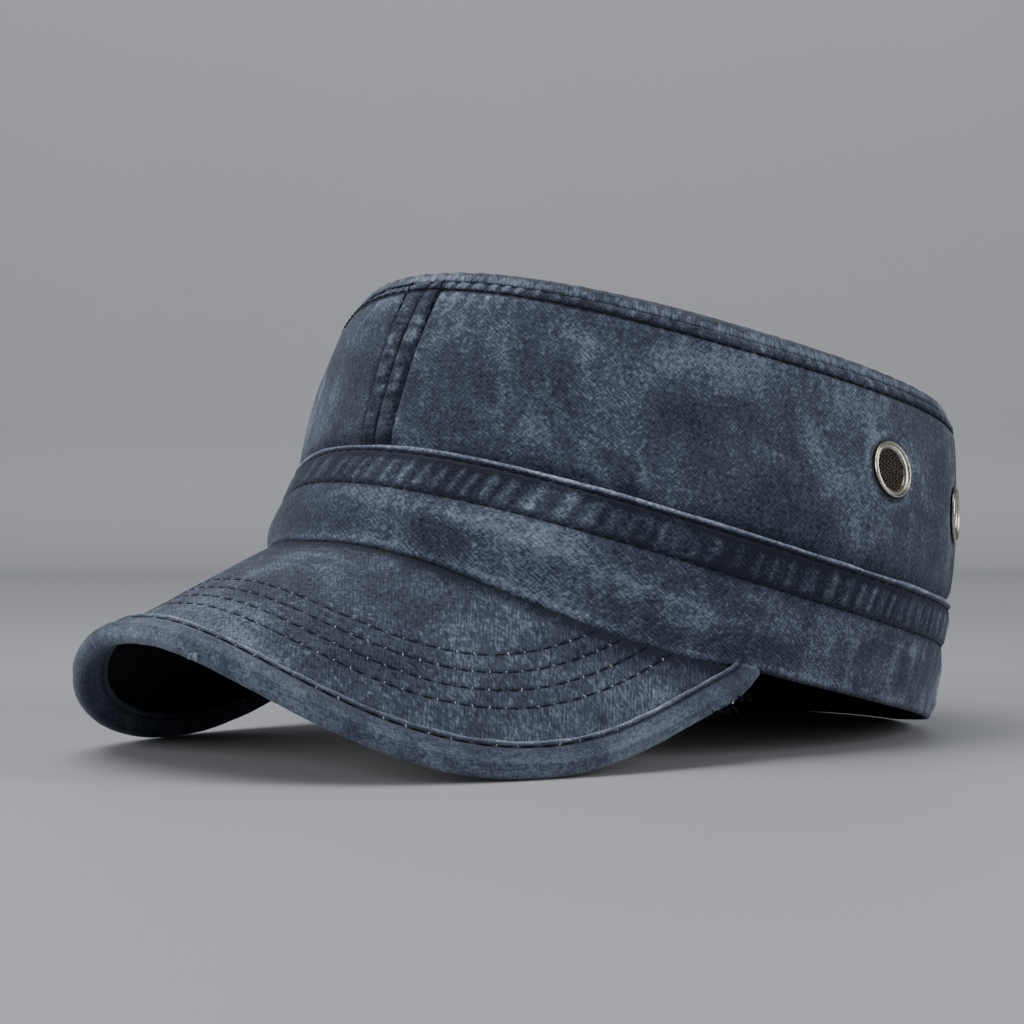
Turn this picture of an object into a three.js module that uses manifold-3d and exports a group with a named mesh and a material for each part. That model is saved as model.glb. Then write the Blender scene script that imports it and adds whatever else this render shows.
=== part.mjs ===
// A flat-topped cloth cap, a kepi, at its real size in millimetres.
// It is worked out level, with its front towards -Y, its top towards +Z and heights
// measured from the ridge, the folded upper edge of the band. It is then pitched back
// until the edge of its peak and the back of its band stand on the ground at Z = 0.

import * as THREE from 'three';
import { mergeVertices } from 'three/addons/utils/BufferGeometryUtils.js';
import Module from 'manifold-3d';

// Crown at the ridge, from the middle line outwards
const RIDGE_FRONT = 95.2;
const RIDGE_BACK = 94.2;
const RIDGE_SIDE = 89.6;
// Crown at the crease, where the top panel is sewn to the wall
const TOP_FRONT = 88.8;
const TOP_BACK = 93.2;
const TOP_SIDE = 81;
// Heights from the ridge, and the wall's soft swell
const WALL_HEIGHT = 47.2;
const WALL_BULGE = 1.4;
const SHOULDER_HEIGHT = 7;
const SHOULDER_DEPTH = 1.5;
const TOP_DOME = 5;
const TOP_PUFF = 2;
const TOP_PUFF_SHARPNESS = 24;
// How far the ridge and the crease drop from the middle line to the temples
const RIDGE_DROP_FRONT = 4.2;
const RIDGE_DROP = 5.9;
const TOP_DROP_FRONT = 12.9;
const TOP_DROP = -2.5;
// Band, from the ridge to its lower edge, and how far that edge leans out
const BAND_HEIGHT = 30.6;
const BAND_FRONT_EXTRA = 3.4;
const BAND_FRONT_LEAN = 11.6;
const BAND_BACK_LEAN = 8.6;
const BAND_SIDE_LEAN = -6.4;
const BAND_PROUD = 0.8;
// How square the outline of each ring is, 2 being an ellipse
const RIDGE_SQUARE_FRONT = 1.89;
const BAND_SQUARE_FRONT = 1.7;
const RIDGE_SQUARE_BACK = 1.98;
const TOP_SQUARE_FRONT = 2.16;
const TOP_SQUARE_BACK = 2.02;

// Cloth
const CLOTH = 1.2;
const BAND_CLOTH = 1.5;
const PEAK_CLOTH = 1;
const BINDING_CLOTH = 1;
const SWEATBAND_CLOTH = 1;
const SEAM_ALLOWANCE = 10;
const TUCK_HEIGHT = 3;
const FRONT_SEAM_ANGLE = 2.6;
const GAP = 0.3;

// Peak: the depth of its seat below the ridge, its reach in front of the ridge, how much
// more its arch falls at the front edge than at the ridge, and the angle round the cap at
// which it ends. The arch itself falls as far as the band's lower edge at that angle.
const PEAK_SEAT = 19.7;
const PEAK_REACH = 58.8;
const PEAK_ARCH_GAIN = 0.7;
const PEAK_ARCH_POWER = 2.18;
const PEAK_SLOPE = 0.715;
const PEAK_CORNER_ANGLE = 74.5;
const PEAK_CORNER_STEP = 1.2;
const CORNER_CLEARANCE = 3.4;
const CORNER_SHARPNESS = 8;
const SEAT_GAP = 0.5;
const PEAK_SQUARE = 2.31;
const PEAK_EDGE_INSET = 2;
// Binding of the peak's edge: its width, and its least and greatest as shares of the
// edge's radius and of the room before the band
const BINDING_WIDTH = 9;
const BINDING_LEAST_SHARE = 1.2;
const BINDING_ROOM_SHARE = 0.9;

// Sweatband, inside the band
const SWEATBAND_TOP = 4;
const SWEATBAND_LIFT = 1;

// Eyelets: rings pressed through the wall, with a disc of fine mesh in each. Angles are
// degrees round the cap from the centre front, and heights are shares of the wall.
const EYELET_OUTER = 7.5;
const EYELET_BORE = 6;
const EYELET_BARREL = 6.6;
const EYELET_RISE = 1.2;
const EYELET_TAIL = 0.8;
const MESH_THICKNESS = 0.6;
const MESH_DEPTH = 0.3;
const DRILL_LENGTH = 9.6;
const EYELETS = [
  { name: '1', angle: 94, height: 0.53 },
  { name: '2', angle: 122, height: 0.455 },
];

// How much the back edge of the band flattens where it stands
const FOOT_FLATTENING = 0.7;

// Soft folds in the cloth, the same on both sides. Angles are degrees round the cap from
// the centre front, heights are shares of the wall above the ridge and of the band below
// it, and depths are shares of the fold depth, inwards where negative.
const FOLD_DEPTH = 1.6;
const FOLDS = [
  { angle: 24, height: -0.3, depth: -0.6, angleSpan: 10, heightSpan: 0.25 },
  { angle: 34, height: -0.62, depth: 0.7, angleSpan: 14, heightSpan: 0.22 },
  { angle: 62, height: -0.8, depth: 0.6, angleSpan: 16, heightSpan: 0.25 },
  { angle: 84, height: -0.55, depth: -0.5, angleSpan: 14, heightSpan: 0.3 },
  { angle: 128, height: -0.7, depth: -0.7, angleSpan: 8, heightSpan: 0.4 },
  { angle: 141, height: -0.7, depth: 0.5, angleSpan: 7, heightSpan: 0.4 },
  { angle: 28, height: 0.55, depth: -0.5, angleSpan: 12, heightSpan: 0.35 },
  { angle: 72, height: 0.6, depth: -0.6, angleSpan: 16, heightSpan: 0.3 },
  { angle: 100, height: 0.3, depth: 0.5, angleSpan: 14, heightSpan: 0.3 },
  { angle: 135, height: 0.55, depth: -0.5, angleSpan: 12, heightSpan: 0.35 },
];

// How finely the shapes are divided, and the steps of a finite slope
const RING_STEPS = 72;
const WALL_ROWS = 4;
const BAND_ROWS = 4;
const PANEL_ROWS = 4;
const PEAK_STEPS = 48;
const PEAK_ROWS = 4;
const EYELET_STEPS = 16;
const SOLVER_STEPS = 40;
const SKIN_PROBE = 0.5;
const ANGLE_PROBE = 0.01;

const lerp = THREE.MathUtils.lerp;
const radians = THREE.MathUtils.degToRad;

/** The power of a number's size, with the number's own sign. */
function signedPower(value, power) {
  return Math.sign(value) * Math.abs(value) ** power;
}

/** How far the soft folds push the cloth out at a place on the crown. */
function foldAt(angle, height) {
  const degrees = THREE.MathUtils.radToDeg(Math.abs(Math.atan2(Math.sin(angle), Math.cos(angle))));
  const share = height > 0 ? height / WALL_HEIGHT : height / BAND_HEIGHT;
  let push = 0;
  for (const fold of FOLDS) {
    const across = (degrees - fold.angle) / fold.angleSpan;
    const along = (share - fold.height) / fold.heightSpan;
    push += fold.depth * Math.exp(-across * across - along * along);
  }
  return FOLD_DEPTH * push;
}

/** The half lengths and squareness of the crown's outline at a height from the ridge. */
function outlineAt(height) {
  const up = Math.max(0, height) / WALL_HEIGHT;
  const down = Math.max(0, -height) / BAND_HEIGHT;
  const intoShoulder = Math.max(0, height - WALL_HEIGHT + SHOULDER_HEIGHT) / SHOULDER_HEIGHT;
  const swell = 4 * WALL_BULGE * up * (1 - up) - SHOULDER_DEPTH * intoShoulder ** 2;
  return {
    front: lerp(RIDGE_FRONT, TOP_FRONT, up) + BAND_FRONT_LEAN * down * (2 - down) + swell,
    back: lerp(RIDGE_BACK, TOP_BACK, up) + BAND_BACK_LEAN * down + swell,
    side: lerp(RIDGE_SIDE, TOP_SIDE, up) + BAND_SIDE_LEAN * down + swell,
    squareFront: lerp(lerp(RIDGE_SQUARE_FRONT, TOP_SQUARE_FRONT, up), BAND_SQUARE_FRONT, down),
    squareBack: lerp(RIDGE_SQUARE_BACK, TOP_SQUARE_BACK, up),
  };
}

/** How far the cloth drops below its height, growing towards the temples. */
function dropAt(x, frontness, height) {
  const up = Math.max(0, height) / WALL_HEIGHT;
  const front = lerp(RIDGE_DROP_FRONT, TOP_DROP_FRONT, up);
  const all = lerp(RIDGE_DROP, TOP_DROP, up);
  return (front * (1 + frontness) / 2 + all) * (x / RIDGE_SIDE) ** 2;
}

/** A point on the crown: an angle from the centre front, a height, and a step outwards. */
function crownPoint(angle, height, out) {
  const outline = outlineAt(height);
  const frontness = Math.cos(angle);
  const square = frontness > 0 ? outline.squareFront : outline.squareBack;
  const length = frontness > 0 ? outline.front : outline.back;
  const step = out + foldAt(angle, height);
  const x = (outline.side + step) * signedPower(Math.sin(angle), 2 / square);
  const y = -(length + step) * signedPower(frontness, 2 / square);
  return new THREE.Vector3(x, y, height - dropAt(x, frontness, height));
}

/** The height of the peak's upper skin. */
function peakZ(x, y) {
  const reach = -y - RIDGE_FRONT;
  const depth = peakArch + PEAK_ARCH_GAIN * reach / PEAK_REACH;
  const arch = depth * Math.abs(x / corner.x) ** PEAK_ARCH_POWER;
  return -PEAK_SEAT - arch - PEAK_SLOPE * reach;
}

/** The direction square to the peak's upper skin, upwards. */
function peakNormal(x, y) {
  const slopeX = (peakZ(x + SKIN_PROBE, y) - peakZ(x - SKIN_PROBE, y)) / (2 * SKIN_PROBE);
  const slopeY = (peakZ(x, y + SKIN_PROBE) - peakZ(x, y - SKIN_PROBE)) / (2 * SKIN_PROBE);
  return new THREE.Vector3(-slopeX, -slopeY, 1).normalize();
}

/** The height of the band's lower edge where neither peak nor ground lifts it. */
function freeFoot(angle) {
  return -BAND_HEIGHT - BAND_FRONT_EXTRA * (1 + Math.cos(angle)) / 2;
}

const bandInner = BAND_PROUD - BAND_CLOTH;
const cornerAngle = radians(PEAK_CORNER_ANGLE);
const corner = crownPoint(cornerAngle, freeFoot(cornerAngle), BAND_PROUD);
const cornerReach = -corner.y - RIDGE_FRONT;
const cornerFall = cornerReach * (PEAK_SLOPE + PEAK_ARCH_GAIN / PEAK_REACH);
const peakArch = CORNER_CLEARANCE - corner.z - PEAK_SEAT - cornerFall;
const peakHalfWidth = corner.x + PEAK_CORNER_STEP;
const peakLength = corner.y + RIDGE_FRONT + PEAK_REACH;

/** A point of the peak's outer edge in plan, from -1 at one corner to 1 at the other. */
function peakEdge(share) {
  const turn = share * Math.PI / 2;
  const x = peakHalfWidth * signedPower(Math.sin(turn), 2 / PEAK_SQUARE);
  const y = corner.y - peakLength * Math.max(0, Math.cos(turn)) ** (2 / PEAK_SQUARE);
  return new THREE.Vector2(x, y);
}

/** The point in plan where the peak's cloth ends under the inside of the band. */
function peakRoot(share) {
  const angle = share * cornerAngle;
  const root = crownPoint(angle, liftedFoot(angle, bandInner), bandInner);
  return new THREE.Vector2(root.x, root.y);
}

/** A point of the peak: a place along it, a step in from the edge, a step above its skin. */
function peakPoint(share, inset, rise) {
  const edge = peakEdge(share);
  const inwards = peakRoot(share).sub(edge);
  const width = inwards.length();
  inwards.normalize();
  const probe = edge.clone().addScaledVector(inwards, SKIN_PROBE);
  const fall = (peakZ(probe.x, probe.y) - peakZ(edge.x, edge.y)) / SKIN_PROBE;
  const step = Math.min(inset / Math.hypot(1, fall), width);
  const place = edge.addScaledVector(inwards, step);
  const point = new THREE.Vector3(place.x, place.y, peakZ(place.x, place.y));
  return point.addScaledVector(peakNormal(place.x, place.y), rise);
}

/** The lower edge's height: along the peak's skin, then free of it past the corners. */
function liftedFoot(angle, out) {
  const free = freeFoot(angle);
  let height = free;
  for (let step = 0; step < SOLVER_STEPS; step += 1) {
    const point = crownPoint(angle, height, out);
    const normal = peakNormal(point.x, point.y);
    const clearance = SEAT_GAP + (GAP + BINDING_CLOTH) * cornerShare(angle);
    const seat = peakZ(point.x, point.y) + clearance / normal.z;
    height += (seat - point.z) / 2;
  }
  return lerp(height, free, cornerShare(angle));
}

/** Nearly 1 by the peak's corners, where its binding passes under the band, else nearly 0. */
function cornerShare(angle) {
  return Math.min(1, Math.abs(angle) / cornerAngle) ** CORNER_SHARPNESS;
}

/** Turns rows of points into one closed solid: two matching sheets and the rim between. */
function sheetSolid(outer, inner, wraps) {
  const rows = outer.length;
  const columns = outer[0].length;
  const positions = [...outer.flat(), ...inner.flat()].flatMap((point) => point.toArray());
  const indices = [];
  const over = (row, column) => row * columns + (column % columns);
  const under = (row, column) => rows * columns + over(row, column);
  const quad = (a, b, c, d) => indices.push(a, b, c, a, c, d);
  const lastRow = rows - 1;
  const lastColumn = wraps ? columns : columns - 1;
  for (let row = 0; row < lastRow; row += 1) {
    const up = row + 1;
    for (let column = 0; column < lastColumn; column += 1) {
      const next = column + 1;
      quad(over(row, column), over(row, next), over(up, next), over(up, column));
      quad(under(row, column), under(up, column), under(up, next), under(row, next));
    }
  }
  for (let column = 0; column < lastColumn; column += 1) {
    const next = column + 1;
    quad(under(0, column), under(0, next), over(0, next), over(0, column));
    quad(over(lastRow, column), over(lastRow, next), under(lastRow, next), under(lastRow, column));
  }
  for (let row = 0; !wraps && row < lastRow; row += 1) {
    const up = row + 1;
    quad(over(row, 0), over(up, 0), under(up, 0), under(row, 0));
    quad(over(up, lastColumn), over(row, lastColumn), under(row, lastColumn), under(up, lastColumn));
  }
  return facingOut(positions, indices);
}

/** Sweeps a closed section of points from station to station and closes both ends. */
function sweptSolid(stations) {
  const count = stations[0].length;
  const positions = stations.flat().flatMap((point) => point.toArray());
  const indices = [];
  for (let row = 0; row < stations.length - 1; row += 1) {
    for (let column = 0; column < count; column += 1) {
      const next = (column + 1) % count;
      const a = row * count + column;
      const b = row * count + next;
      indices.push(a, b, b + count, a, b + count, a + count);
    }
  }
  const half = count / 2;
  const last = (stations.length - 1) * count;
  for (let column = 0; column < half - 1; column += 1) {
    const facing = count - 1 - column;
    indices.push(column, facing, column + 1, column + 1, facing, facing - 1);
    indices.push(last + column, last + column + 1, last + facing);
    indices.push(last + column + 1, last + facing - 1, last + facing);
  }
  return facingOut(positions, indices);
}

/** Makes a geometry, turned inside out if its faces point inwards. */
function facingOut(positions, indices) {
  let volume = 0;
  const corners = [new THREE.Vector3(), new THREE.Vector3(), new THREE.Vector3()];
  for (let start = 0; start < indices.length; start += 3) {
    corners.forEach((point, index) => point.fromArray(positions, 3 * indices[start + index]));
    volume += corners[0].dot(corners[1].clone().cross(corners[2]));
  }
  const geometry = new THREE.BufferGeometry();
  geometry.setAttribute('position', new THREE.Float32BufferAttribute(positions, 3));
  geometry.setIndex(volume < 0 ? [...indices].reverse() : indices);
  geometry.computeVertexNormals();
  return geometry;
}

/** Even shares from 0 to 1. */
function shares(count) {
  return Array.from({ length: count + 1 }, (_, index) => index / count);
}

// The bound edge's stack: the peak's two layers between the binding's two sides
const stackHeight = 2 * PEAK_CLOTH + 2 * BINDING_CLOTH + 3 * GAP;
const stackTop = GAP + BINDING_CLOTH;
const edgeRadius = stackHeight / 2;

/** The folded section of the binding at a place along the edge, outside and then inside. */
function bindingSection(share) {
  const room = peakRoot(share).distanceTo(peakEdge(share));
  const least = edgeRadius * BINDING_LEAST_SHARE;
  const width = Math.min(BINDING_WIDTH, Math.max(least, room * BINDING_ROOM_SHARE));
  const middle = stackTop - edgeRadius;
  const outside = [[width, stackTop]];
  for (const turn of [90, 45, 0, -45, -90]) {
    const inset = edgeRadius * (1 - Math.cos(radians(turn)));
    outside.push([inset, middle + edgeRadius * Math.sin(radians(turn))]);
  }
  outside.push([width, middle - edgeRadius]);
  const fold = PEAK_EDGE_INSET - GAP;
  const inside = [
    [width, middle - edgeRadius + BINDING_CLOTH],
    [fold + BINDING_CLOTH, middle - edgeRadius + BINDING_CLOTH],
    [fold, middle - edgeRadius + BINDING_CLOTH + GAP],
    [fold, middle],
    [fold, stackTop - BINDING_CLOTH - GAP],
    [fold + BINDING_CLOTH, stackTop - BINDING_CLOTH],
    [width, stackTop - BINDING_CLOTH],
  ];
  return [...outside, ...inside].map(([inset, rise]) => peakPoint(share, inset, rise));
}

const peakShares = shares(PEAK_STEPS).map((share) => 2 * share - 1);
const bindingStations = peakShares.map(bindingSection);

/** Finds the pitch and the ground: a line through the lowest edge and the band's back. */
function standOn(points, backFoot) {
  let pitch = 0;
  let lowest = points[0];
  for (let step = 0; step < SOLVER_STEPS; step += 1) {
    const heightOf = (point) => point.z * Math.cos(pitch) - point.y * Math.sin(pitch);
    lowest = points.reduce((low, point) => (heightOf(point) < heightOf(low) ? point : low));
    pitch = Math.atan2(backFoot.z - lowest.z, backFoot.y - lowest.y);
  }
  return { pitch, slope: Math.tan(pitch), through: lowest };
}

// The cap stands on the lowest points of its bound edge and on the back of its band
const backFoot = crownPoint(Math.PI, freeFoot(Math.PI), BAND_PROUD);
backFoot.z += FOOT_FLATTENING;
const ground = standOn(bindingStations.flat(), backFoot);

/** The height of the ground under the level cap. */
function groundZ(y) {
  return ground.through.z + (y - ground.through.y) * ground.slope;
}

/** The band's lower edge as it is: lifted by the peak, and flattened by the ground. */
function footHeight(angle, out) {
  const free = liftedFoot(angle, out);
  let height = free;
  for (let step = 0; step < SOLVER_STEPS; step += 1) {
    const point = crownPoint(angle, height, out);
    height = Math.max(free, height + groundZ(point.y) - point.z);
  }
  return height;
}

/** How far the wall's skin steps in where it passes behind the band. */
function tuckAt(height) {
  const share = THREE.MathUtils.clamp(1 - height / TUCK_HEIGHT, 0, 1);
  return (bandInner - GAP) * share;
}

/** One half of the wall, from the front seam to the centre back seam. */
function wallHalf(side) {
  const start = radians(side * FRONT_SEAM_ANGLE) + GAP / 2 / RIDGE_SIDE;
  const top = WALL_HEIGHT - CLOTH - GAP;
  const heights = [-SEAM_ALLOWANCE, -SWEATBAND_TOP, 0, TUCK_HEIGHT];
  const shoulder = WALL_HEIGHT - SHOULDER_HEIGHT;
  for (const share of shares(WALL_ROWS).slice(1)) {
    heights.push(lerp(TUCK_HEIGHT, shoulder, share));
  }
  heights.push(lerp(shoulder, top, 0.5), top);
  const sheet = (depth) => heights.map((height) => shares(RING_STEPS / 2).map((share, column, all) => {
    const point = crownPoint(lerp(start, Math.PI, share), height, tuckAt(height) - depth);
    const atBack = column === all.length - 1;
    point.x = side * (atBack ? GAP / 2 : point.x);
    return point;
  }));
  return sheetSolid(sheet(0), sheet(CLOTH), false);
}

/** A closed strip round the cap, through the heights that a function gives at each angle. */
function ringStrip(heightsAt, outerStep, innerStep) {
  const angles = shares(RING_STEPS).slice(0, -1).map((share) => (2 * share - 1) * Math.PI);
  const sheet = (out) => {
    const heights = angles.map((angle) => heightsAt(angle, out));
    const row = (index) => angles.map((angle, column) => crownPoint(angle, heights[column][index], out));
    return heights[0].map((_, index) => row(index));
  };
  return sheetSolid(sheet(outerStep), sheet(innerStep), true);
}

/** The band, which stands a little proud of the wall above it. */
function bandStrip() {
  const heightsAt = (angle, out) => {
    const lower = footHeight(angle, out);
    return shares(BAND_ROWS).map((share) => lerp(lower, 0, share));
  };
  return ringStrip(heightsAt, BAND_PROUD, bandInner);
}

/** The sweatband, inside the seam allowance of the wall. */
function sweatbandStrip() {
  const outside = bandInner - GAP - CLOTH - GAP;
  const heightsAt = (angle) => {
    const lower = footHeight(angle, bandInner) + SWEATBAND_LIFT;
    return [lower, (lower - SEAM_ALLOWANCE) / 2, -SEAM_ALLOWANCE, -SWEATBAND_TOP];
  };
  return ringStrip(heightsAt, outside, outside - SWEATBAND_CLOTH);
}

/** The top panel: a domed disc whose edge is the crease. */
function topPanel() {
  const outline = outlineAt(WALL_HEIGHT);
  const upper = shares(PANEL_ROWS).map((row) => {
    const share = 1 - (1 - row) ** 2;
    return [share, TOP_DOME * (1 - share ** 2) + TOP_PUFF * (1 - share ** TOP_PUFF_SHARPNESS)];
  });
  const lower = upper.map(([share, rise]) => [share, rise - CLOTH]).reverse();
  const profile = [...upper, ...lower].map(([share, rise]) => new THREE.Vector2(share, rise)).reverse();
  const geometry = new THREE.LatheGeometry(profile, RING_STEPS);
  const points = geometry.getAttribute('position');
  for (let index = 0; index < points.count; index += 1) {
    const [across, rise, along] = [points.getX(index), points.getY(index), points.getZ(index)];
    const angle = Math.atan2(across, along);
    const share = Math.hypot(across, along);
    const edge = crownPoint(angle, WALL_HEIGHT, -foldAt(angle, WALL_HEIGHT));
    const frontness = -edge.y * share / outline.front;
    const x = edge.x * share;
    const z = WALL_HEIGHT + rise - dropAt(x, frontness, WALL_HEIGHT);
    points.setXYZ(index, x, edge.y * share, z);
  }
  return geometry;
}

/** One cloth layer of the peak, between two depths below its upper skin. */
function peakLayer(topDepth) {
  const sheet = (depth) => peakShares.map((share) => shares(PEAK_ROWS).map((across) => {
    const edge = peakPoint(share, PEAK_EDGE_INSET, 0);
    const root = peakRoot(share);
    const place = new THREE.Vector2(edge.x, edge.y).lerp(root, across);
    const skin = new THREE.Vector3(place.x, place.y, peakZ(place.x, place.y));
    return skin.addScaledVector(peakNormal(place.x, place.y), -depth);
  }));
  return sheetSolid(sheet(topDepth), sheet(topDepth + PEAK_CLOTH), false);
}

/** The frame of an eyelet: its centre on the wall's skin, and the way it faces. */
function eyeletFrame(eyelet, side) {
  const angle = radians(eyelet.angle);
  const height = eyelet.height * WALL_HEIGHT;
  const centre = crownPoint(angle, height, 0);
  const along = crownPoint(angle + ANGLE_PROBE, height, 0).sub(centre);
  const upwards = crownPoint(angle, height + ANGLE_PROBE * RIDGE_SIDE, 0).sub(centre);
  const facing = along.cross(upwards).normalize();
  centre.x *= side;
  facing.x *= side;
  return { centre, facing };
}

/** The ring of an eyelet, turned about its own axis. */
function eyeletRing() {
  const tail = -CLOTH - EYELET_TAIL;
  const crest = (EYELET_BORE + EYELET_OUTER) / 2;
  const profile = [
    [EYELET_BORE, tail],
    [EYELET_BARREL, tail],
    [EYELET_BARREL, GAP],
    [EYELET_OUTER, GAP],
    [EYELET_OUTER, EYELET_RISE / 2],
    [crest, EYELET_RISE],
    [EYELET_BORE, EYELET_RISE / 2],
    [EYELET_BORE, tail],
  ];
  const points = profile.map(([radius, height]) => new THREE.Vector2(radius, height));
  return new THREE.LatheGeometry(points, EYELET_STEPS);
}

/** The disc of fine mesh in an eyelet, set back inside its bore. */
function eyeletMesh() {
  const radius = EYELET_BORE - GAP;
  const disc = new THREE.CylinderGeometry(radius, radius, MESH_THICKNESS, EYELET_STEPS);
  return disc.translate(0, -MESH_DEPTH - MESH_THICKNESS / 2, 0);
}

const wasm = await Module();
wasm.setup();

/** A solid for cutting, from a geometry placed by a matrix. */
function toSolid(geometry, matrix) {
  const bare = geometry.clone().applyMatrix4(matrix);
  bare.deleteAttribute('normal');
  bare.deleteAttribute('uv');
  const merged = mergeVertices(bare);
  const vertProperties = new Float32Array(merged.getAttribute('position').array);
  const triVerts = new Uint32Array(merged.getIndex().array);
  return new wasm.Manifold(new wasm.Mesh({ numProp: 3, vertProperties, triVerts }));
}

/** The geometry of a cut solid. */
function toGeometry(solid) {
  const mesh = solid.getMesh();
  const geometry = new THREE.BufferGeometry();
  geometry.setAttribute('position', new THREE.BufferAttribute(mesh.vertProperties, 3));
  geometry.setIndex(new THREE.BufferAttribute(mesh.triVerts, 1));
  geometry.computeVertexNormals();
  return geometry;
}

/** The place of an eyelet as a matrix, with its own axis along the way it faces. */
function eyeletMatrix(eyelet, side) {
  const { centre, facing } = eyeletFrame(eyelet, side);
  const turn = new THREE.Quaternion().setFromUnitVectors(new THREE.Vector3(0, 1, 0), facing);
  return new THREE.Matrix4().compose(centre, turn, new THREE.Vector3(1, 1, 1));
}

/** One half of the wall with its eyelet holes cut through. */
function piercedWall(side) {
  let solid = toSolid(wallHalf(side), new THREE.Matrix4());
  const radius = EYELET_BARREL + GAP;
  const drill = new THREE.CylinderGeometry(radius, radius, DRILL_LENGTH, EYELET_STEPS);
  for (const eyelet of EYELETS) {
    solid = solid.subtract(toSolid(drill, eyeletMatrix(eyelet, side)));
  }
  return toGeometry(solid);
}

// Materials
const twill = new THREE.MeshStandardMaterial({ color: 0x48566a, roughness: 0.92, metalness: 0 });
const darkTwill = new THREE.MeshStandardMaterial({ color: 0x3c4859, roughness: 0.94, metalness: 0 });
const lightTwill = new THREE.MeshStandardMaterial({ color: 0x5b697b, roughness: 0.92, metalness: 0 });
const lining = new THREE.MeshStandardMaterial({ color: 0x14171c, roughness: 0.95, metalness: 0 });
const nickel = new THREE.MeshStandardMaterial({ color: 0x8d8778, roughness: 0.32, metalness: 1 });
const wireMesh = new THREE.MeshStandardMaterial({ color: 0x26241f, roughness: 0.6, metalness: 0.6 });

/** A named mesh. */
function piece(name, geometry, material) {
  const mesh = new THREE.Mesh(geometry, material);
  mesh.name = name;
  return mesh;
}

// The level cap
const level = new THREE.Group();
level.add(piece('top_panel', topPanel(), twill));
level.add(piece('crown_left', piercedWall(1), twill));
level.add(piece('crown_right', piercedWall(-1), twill));
level.add(piece('band', bandStrip(), darkTwill));
level.add(piece('sweatband', sweatbandStrip(), lining));
level.add(piece('peak_upper', peakLayer(0), twill));
level.add(piece('peak_lower', peakLayer(PEAK_CLOTH + GAP), lining));
level.add(piece('peak_binding', sweptSolid(bindingStations), lightTwill));
for (const [sideName, side] of [['left', 1], ['right', -1]]) {
  for (const eyelet of EYELETS) {
    const ring = piece(`eyelet_${sideName}_${eyelet.name}`, eyeletRing(), nickel);
    const mesh = piece(`mesh_${sideName}_${eyelet.name}`, eyeletMesh(), wireMesh);
    for (const part of [ring, mesh]) {
      part.applyMatrix4(eyeletMatrix(eyelet, side));
      level.add(part);
    }
  }
}

// The cap as it stands, with its box centred over the origin
level.rotation.x = -ground.pitch;
const cap = new THREE.Group();
cap.add(level);
cap.updateMatrixWorld(true);
const box = new THREE.Box3().setFromObject(cap, true);
const middle = box.getCenter(new THREE.Vector3());
level.position.set(0, -middle.y, -box.min.z);

export default cap;
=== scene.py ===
# A washed twill cap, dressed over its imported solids.
# Shapes are worked out in millimetres on the level cap, with heights from the ridge of
# the band and the front towards -Y, and are then pitched back as the cap stands.
import math

import bpy
import numpy as np
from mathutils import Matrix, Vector


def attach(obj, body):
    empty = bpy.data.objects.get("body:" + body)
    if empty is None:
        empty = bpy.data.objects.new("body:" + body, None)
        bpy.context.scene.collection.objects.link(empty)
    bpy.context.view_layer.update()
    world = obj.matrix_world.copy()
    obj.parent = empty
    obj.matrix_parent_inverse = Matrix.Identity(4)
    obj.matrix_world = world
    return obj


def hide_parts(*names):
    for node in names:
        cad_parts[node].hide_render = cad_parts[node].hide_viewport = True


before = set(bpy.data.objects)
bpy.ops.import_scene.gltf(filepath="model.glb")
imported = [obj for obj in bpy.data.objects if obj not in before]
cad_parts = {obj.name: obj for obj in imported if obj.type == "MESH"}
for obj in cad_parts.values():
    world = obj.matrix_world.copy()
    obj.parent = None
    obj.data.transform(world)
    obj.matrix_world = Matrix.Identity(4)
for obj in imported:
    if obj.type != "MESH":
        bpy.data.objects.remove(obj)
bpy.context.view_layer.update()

MM = 0.001
# In metres: the cloth that rests on the floor stays just above it
FLOOR_CLEARANCE = 0.00002

# Crown at the ridge and at the crease, from the middle line outwards
RIDGE_FRONT = 95.2
RIDGE_BACK = 94.2
RIDGE_SIDE = 89.6
TOP_FRONT = 88.8
TOP_BACK = 93.2
TOP_SIDE = 81
# The wall, the crease and the domed top
WALL_HEIGHT = 47.2
WALL_BULGE = 1.4
SHOULDER_HEIGHT = 7
SHOULDER_DEPTH = 1.5
TOP_DOME = 5
TOP_PUFF = 2
TOP_PUFF_SHARPNESS = 24
# How far each level sinks towards the sides
RIDGE_DROP_FRONT = 4.2
RIDGE_DROP = 5.9
TOP_DROP_FRONT = 12.9
TOP_DROP = -2.5
# The band below the ridge
BAND_HEIGHT = 30.6
BAND_FRONT_EXTRA = 3.4
BAND_FRONT_LEAN = 11.6
BAND_BACK_LEAN = 8.6
BAND_SIDE_LEAN = -6.4
BAND_PROUD = 0.8
# How square each outline is: 2 is an ellipse
RIDGE_SQUARE_FRONT = 1.89
BAND_SQUARE_FRONT = 1.7
RIDGE_SQUARE_BACK = 1.98
TOP_SQUARE_FRONT = 2.16
TOP_SQUARE_BACK = 2.02
# Cloth thicknesses, what is folded in at the seams, and the gap between pieces
CLOTH = 1.2
BAND_CLOTH = 1.5
PEAK_CLOTH = 1
BINDING_CLOTH = 1
SWEATBAND_CLOTH = 1
SEAM_ALLOWANCE = 10
TUCK_HEIGHT = 3
FRONT_SEAM_ANGLE = 2.6
GAP = 0.3
# The arched peak and its corners
PEAK_SEAT = 19.7
PEAK_REACH = 58.8
PEAK_ARCH_GAIN = 0.7
PEAK_ARCH_POWER = 2.18
PEAK_SLOPE = 0.715
PEAK_CORNER_ANGLE = 74.5
PEAK_CORNER_STEP = 1.2
CORNER_CLEARANCE = 3.4
CORNER_SHARPNESS = 8
SEAT_GAP = 0.5
PEAK_SQUARE = 2.31
PEAK_EDGE_INSET = 2
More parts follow.
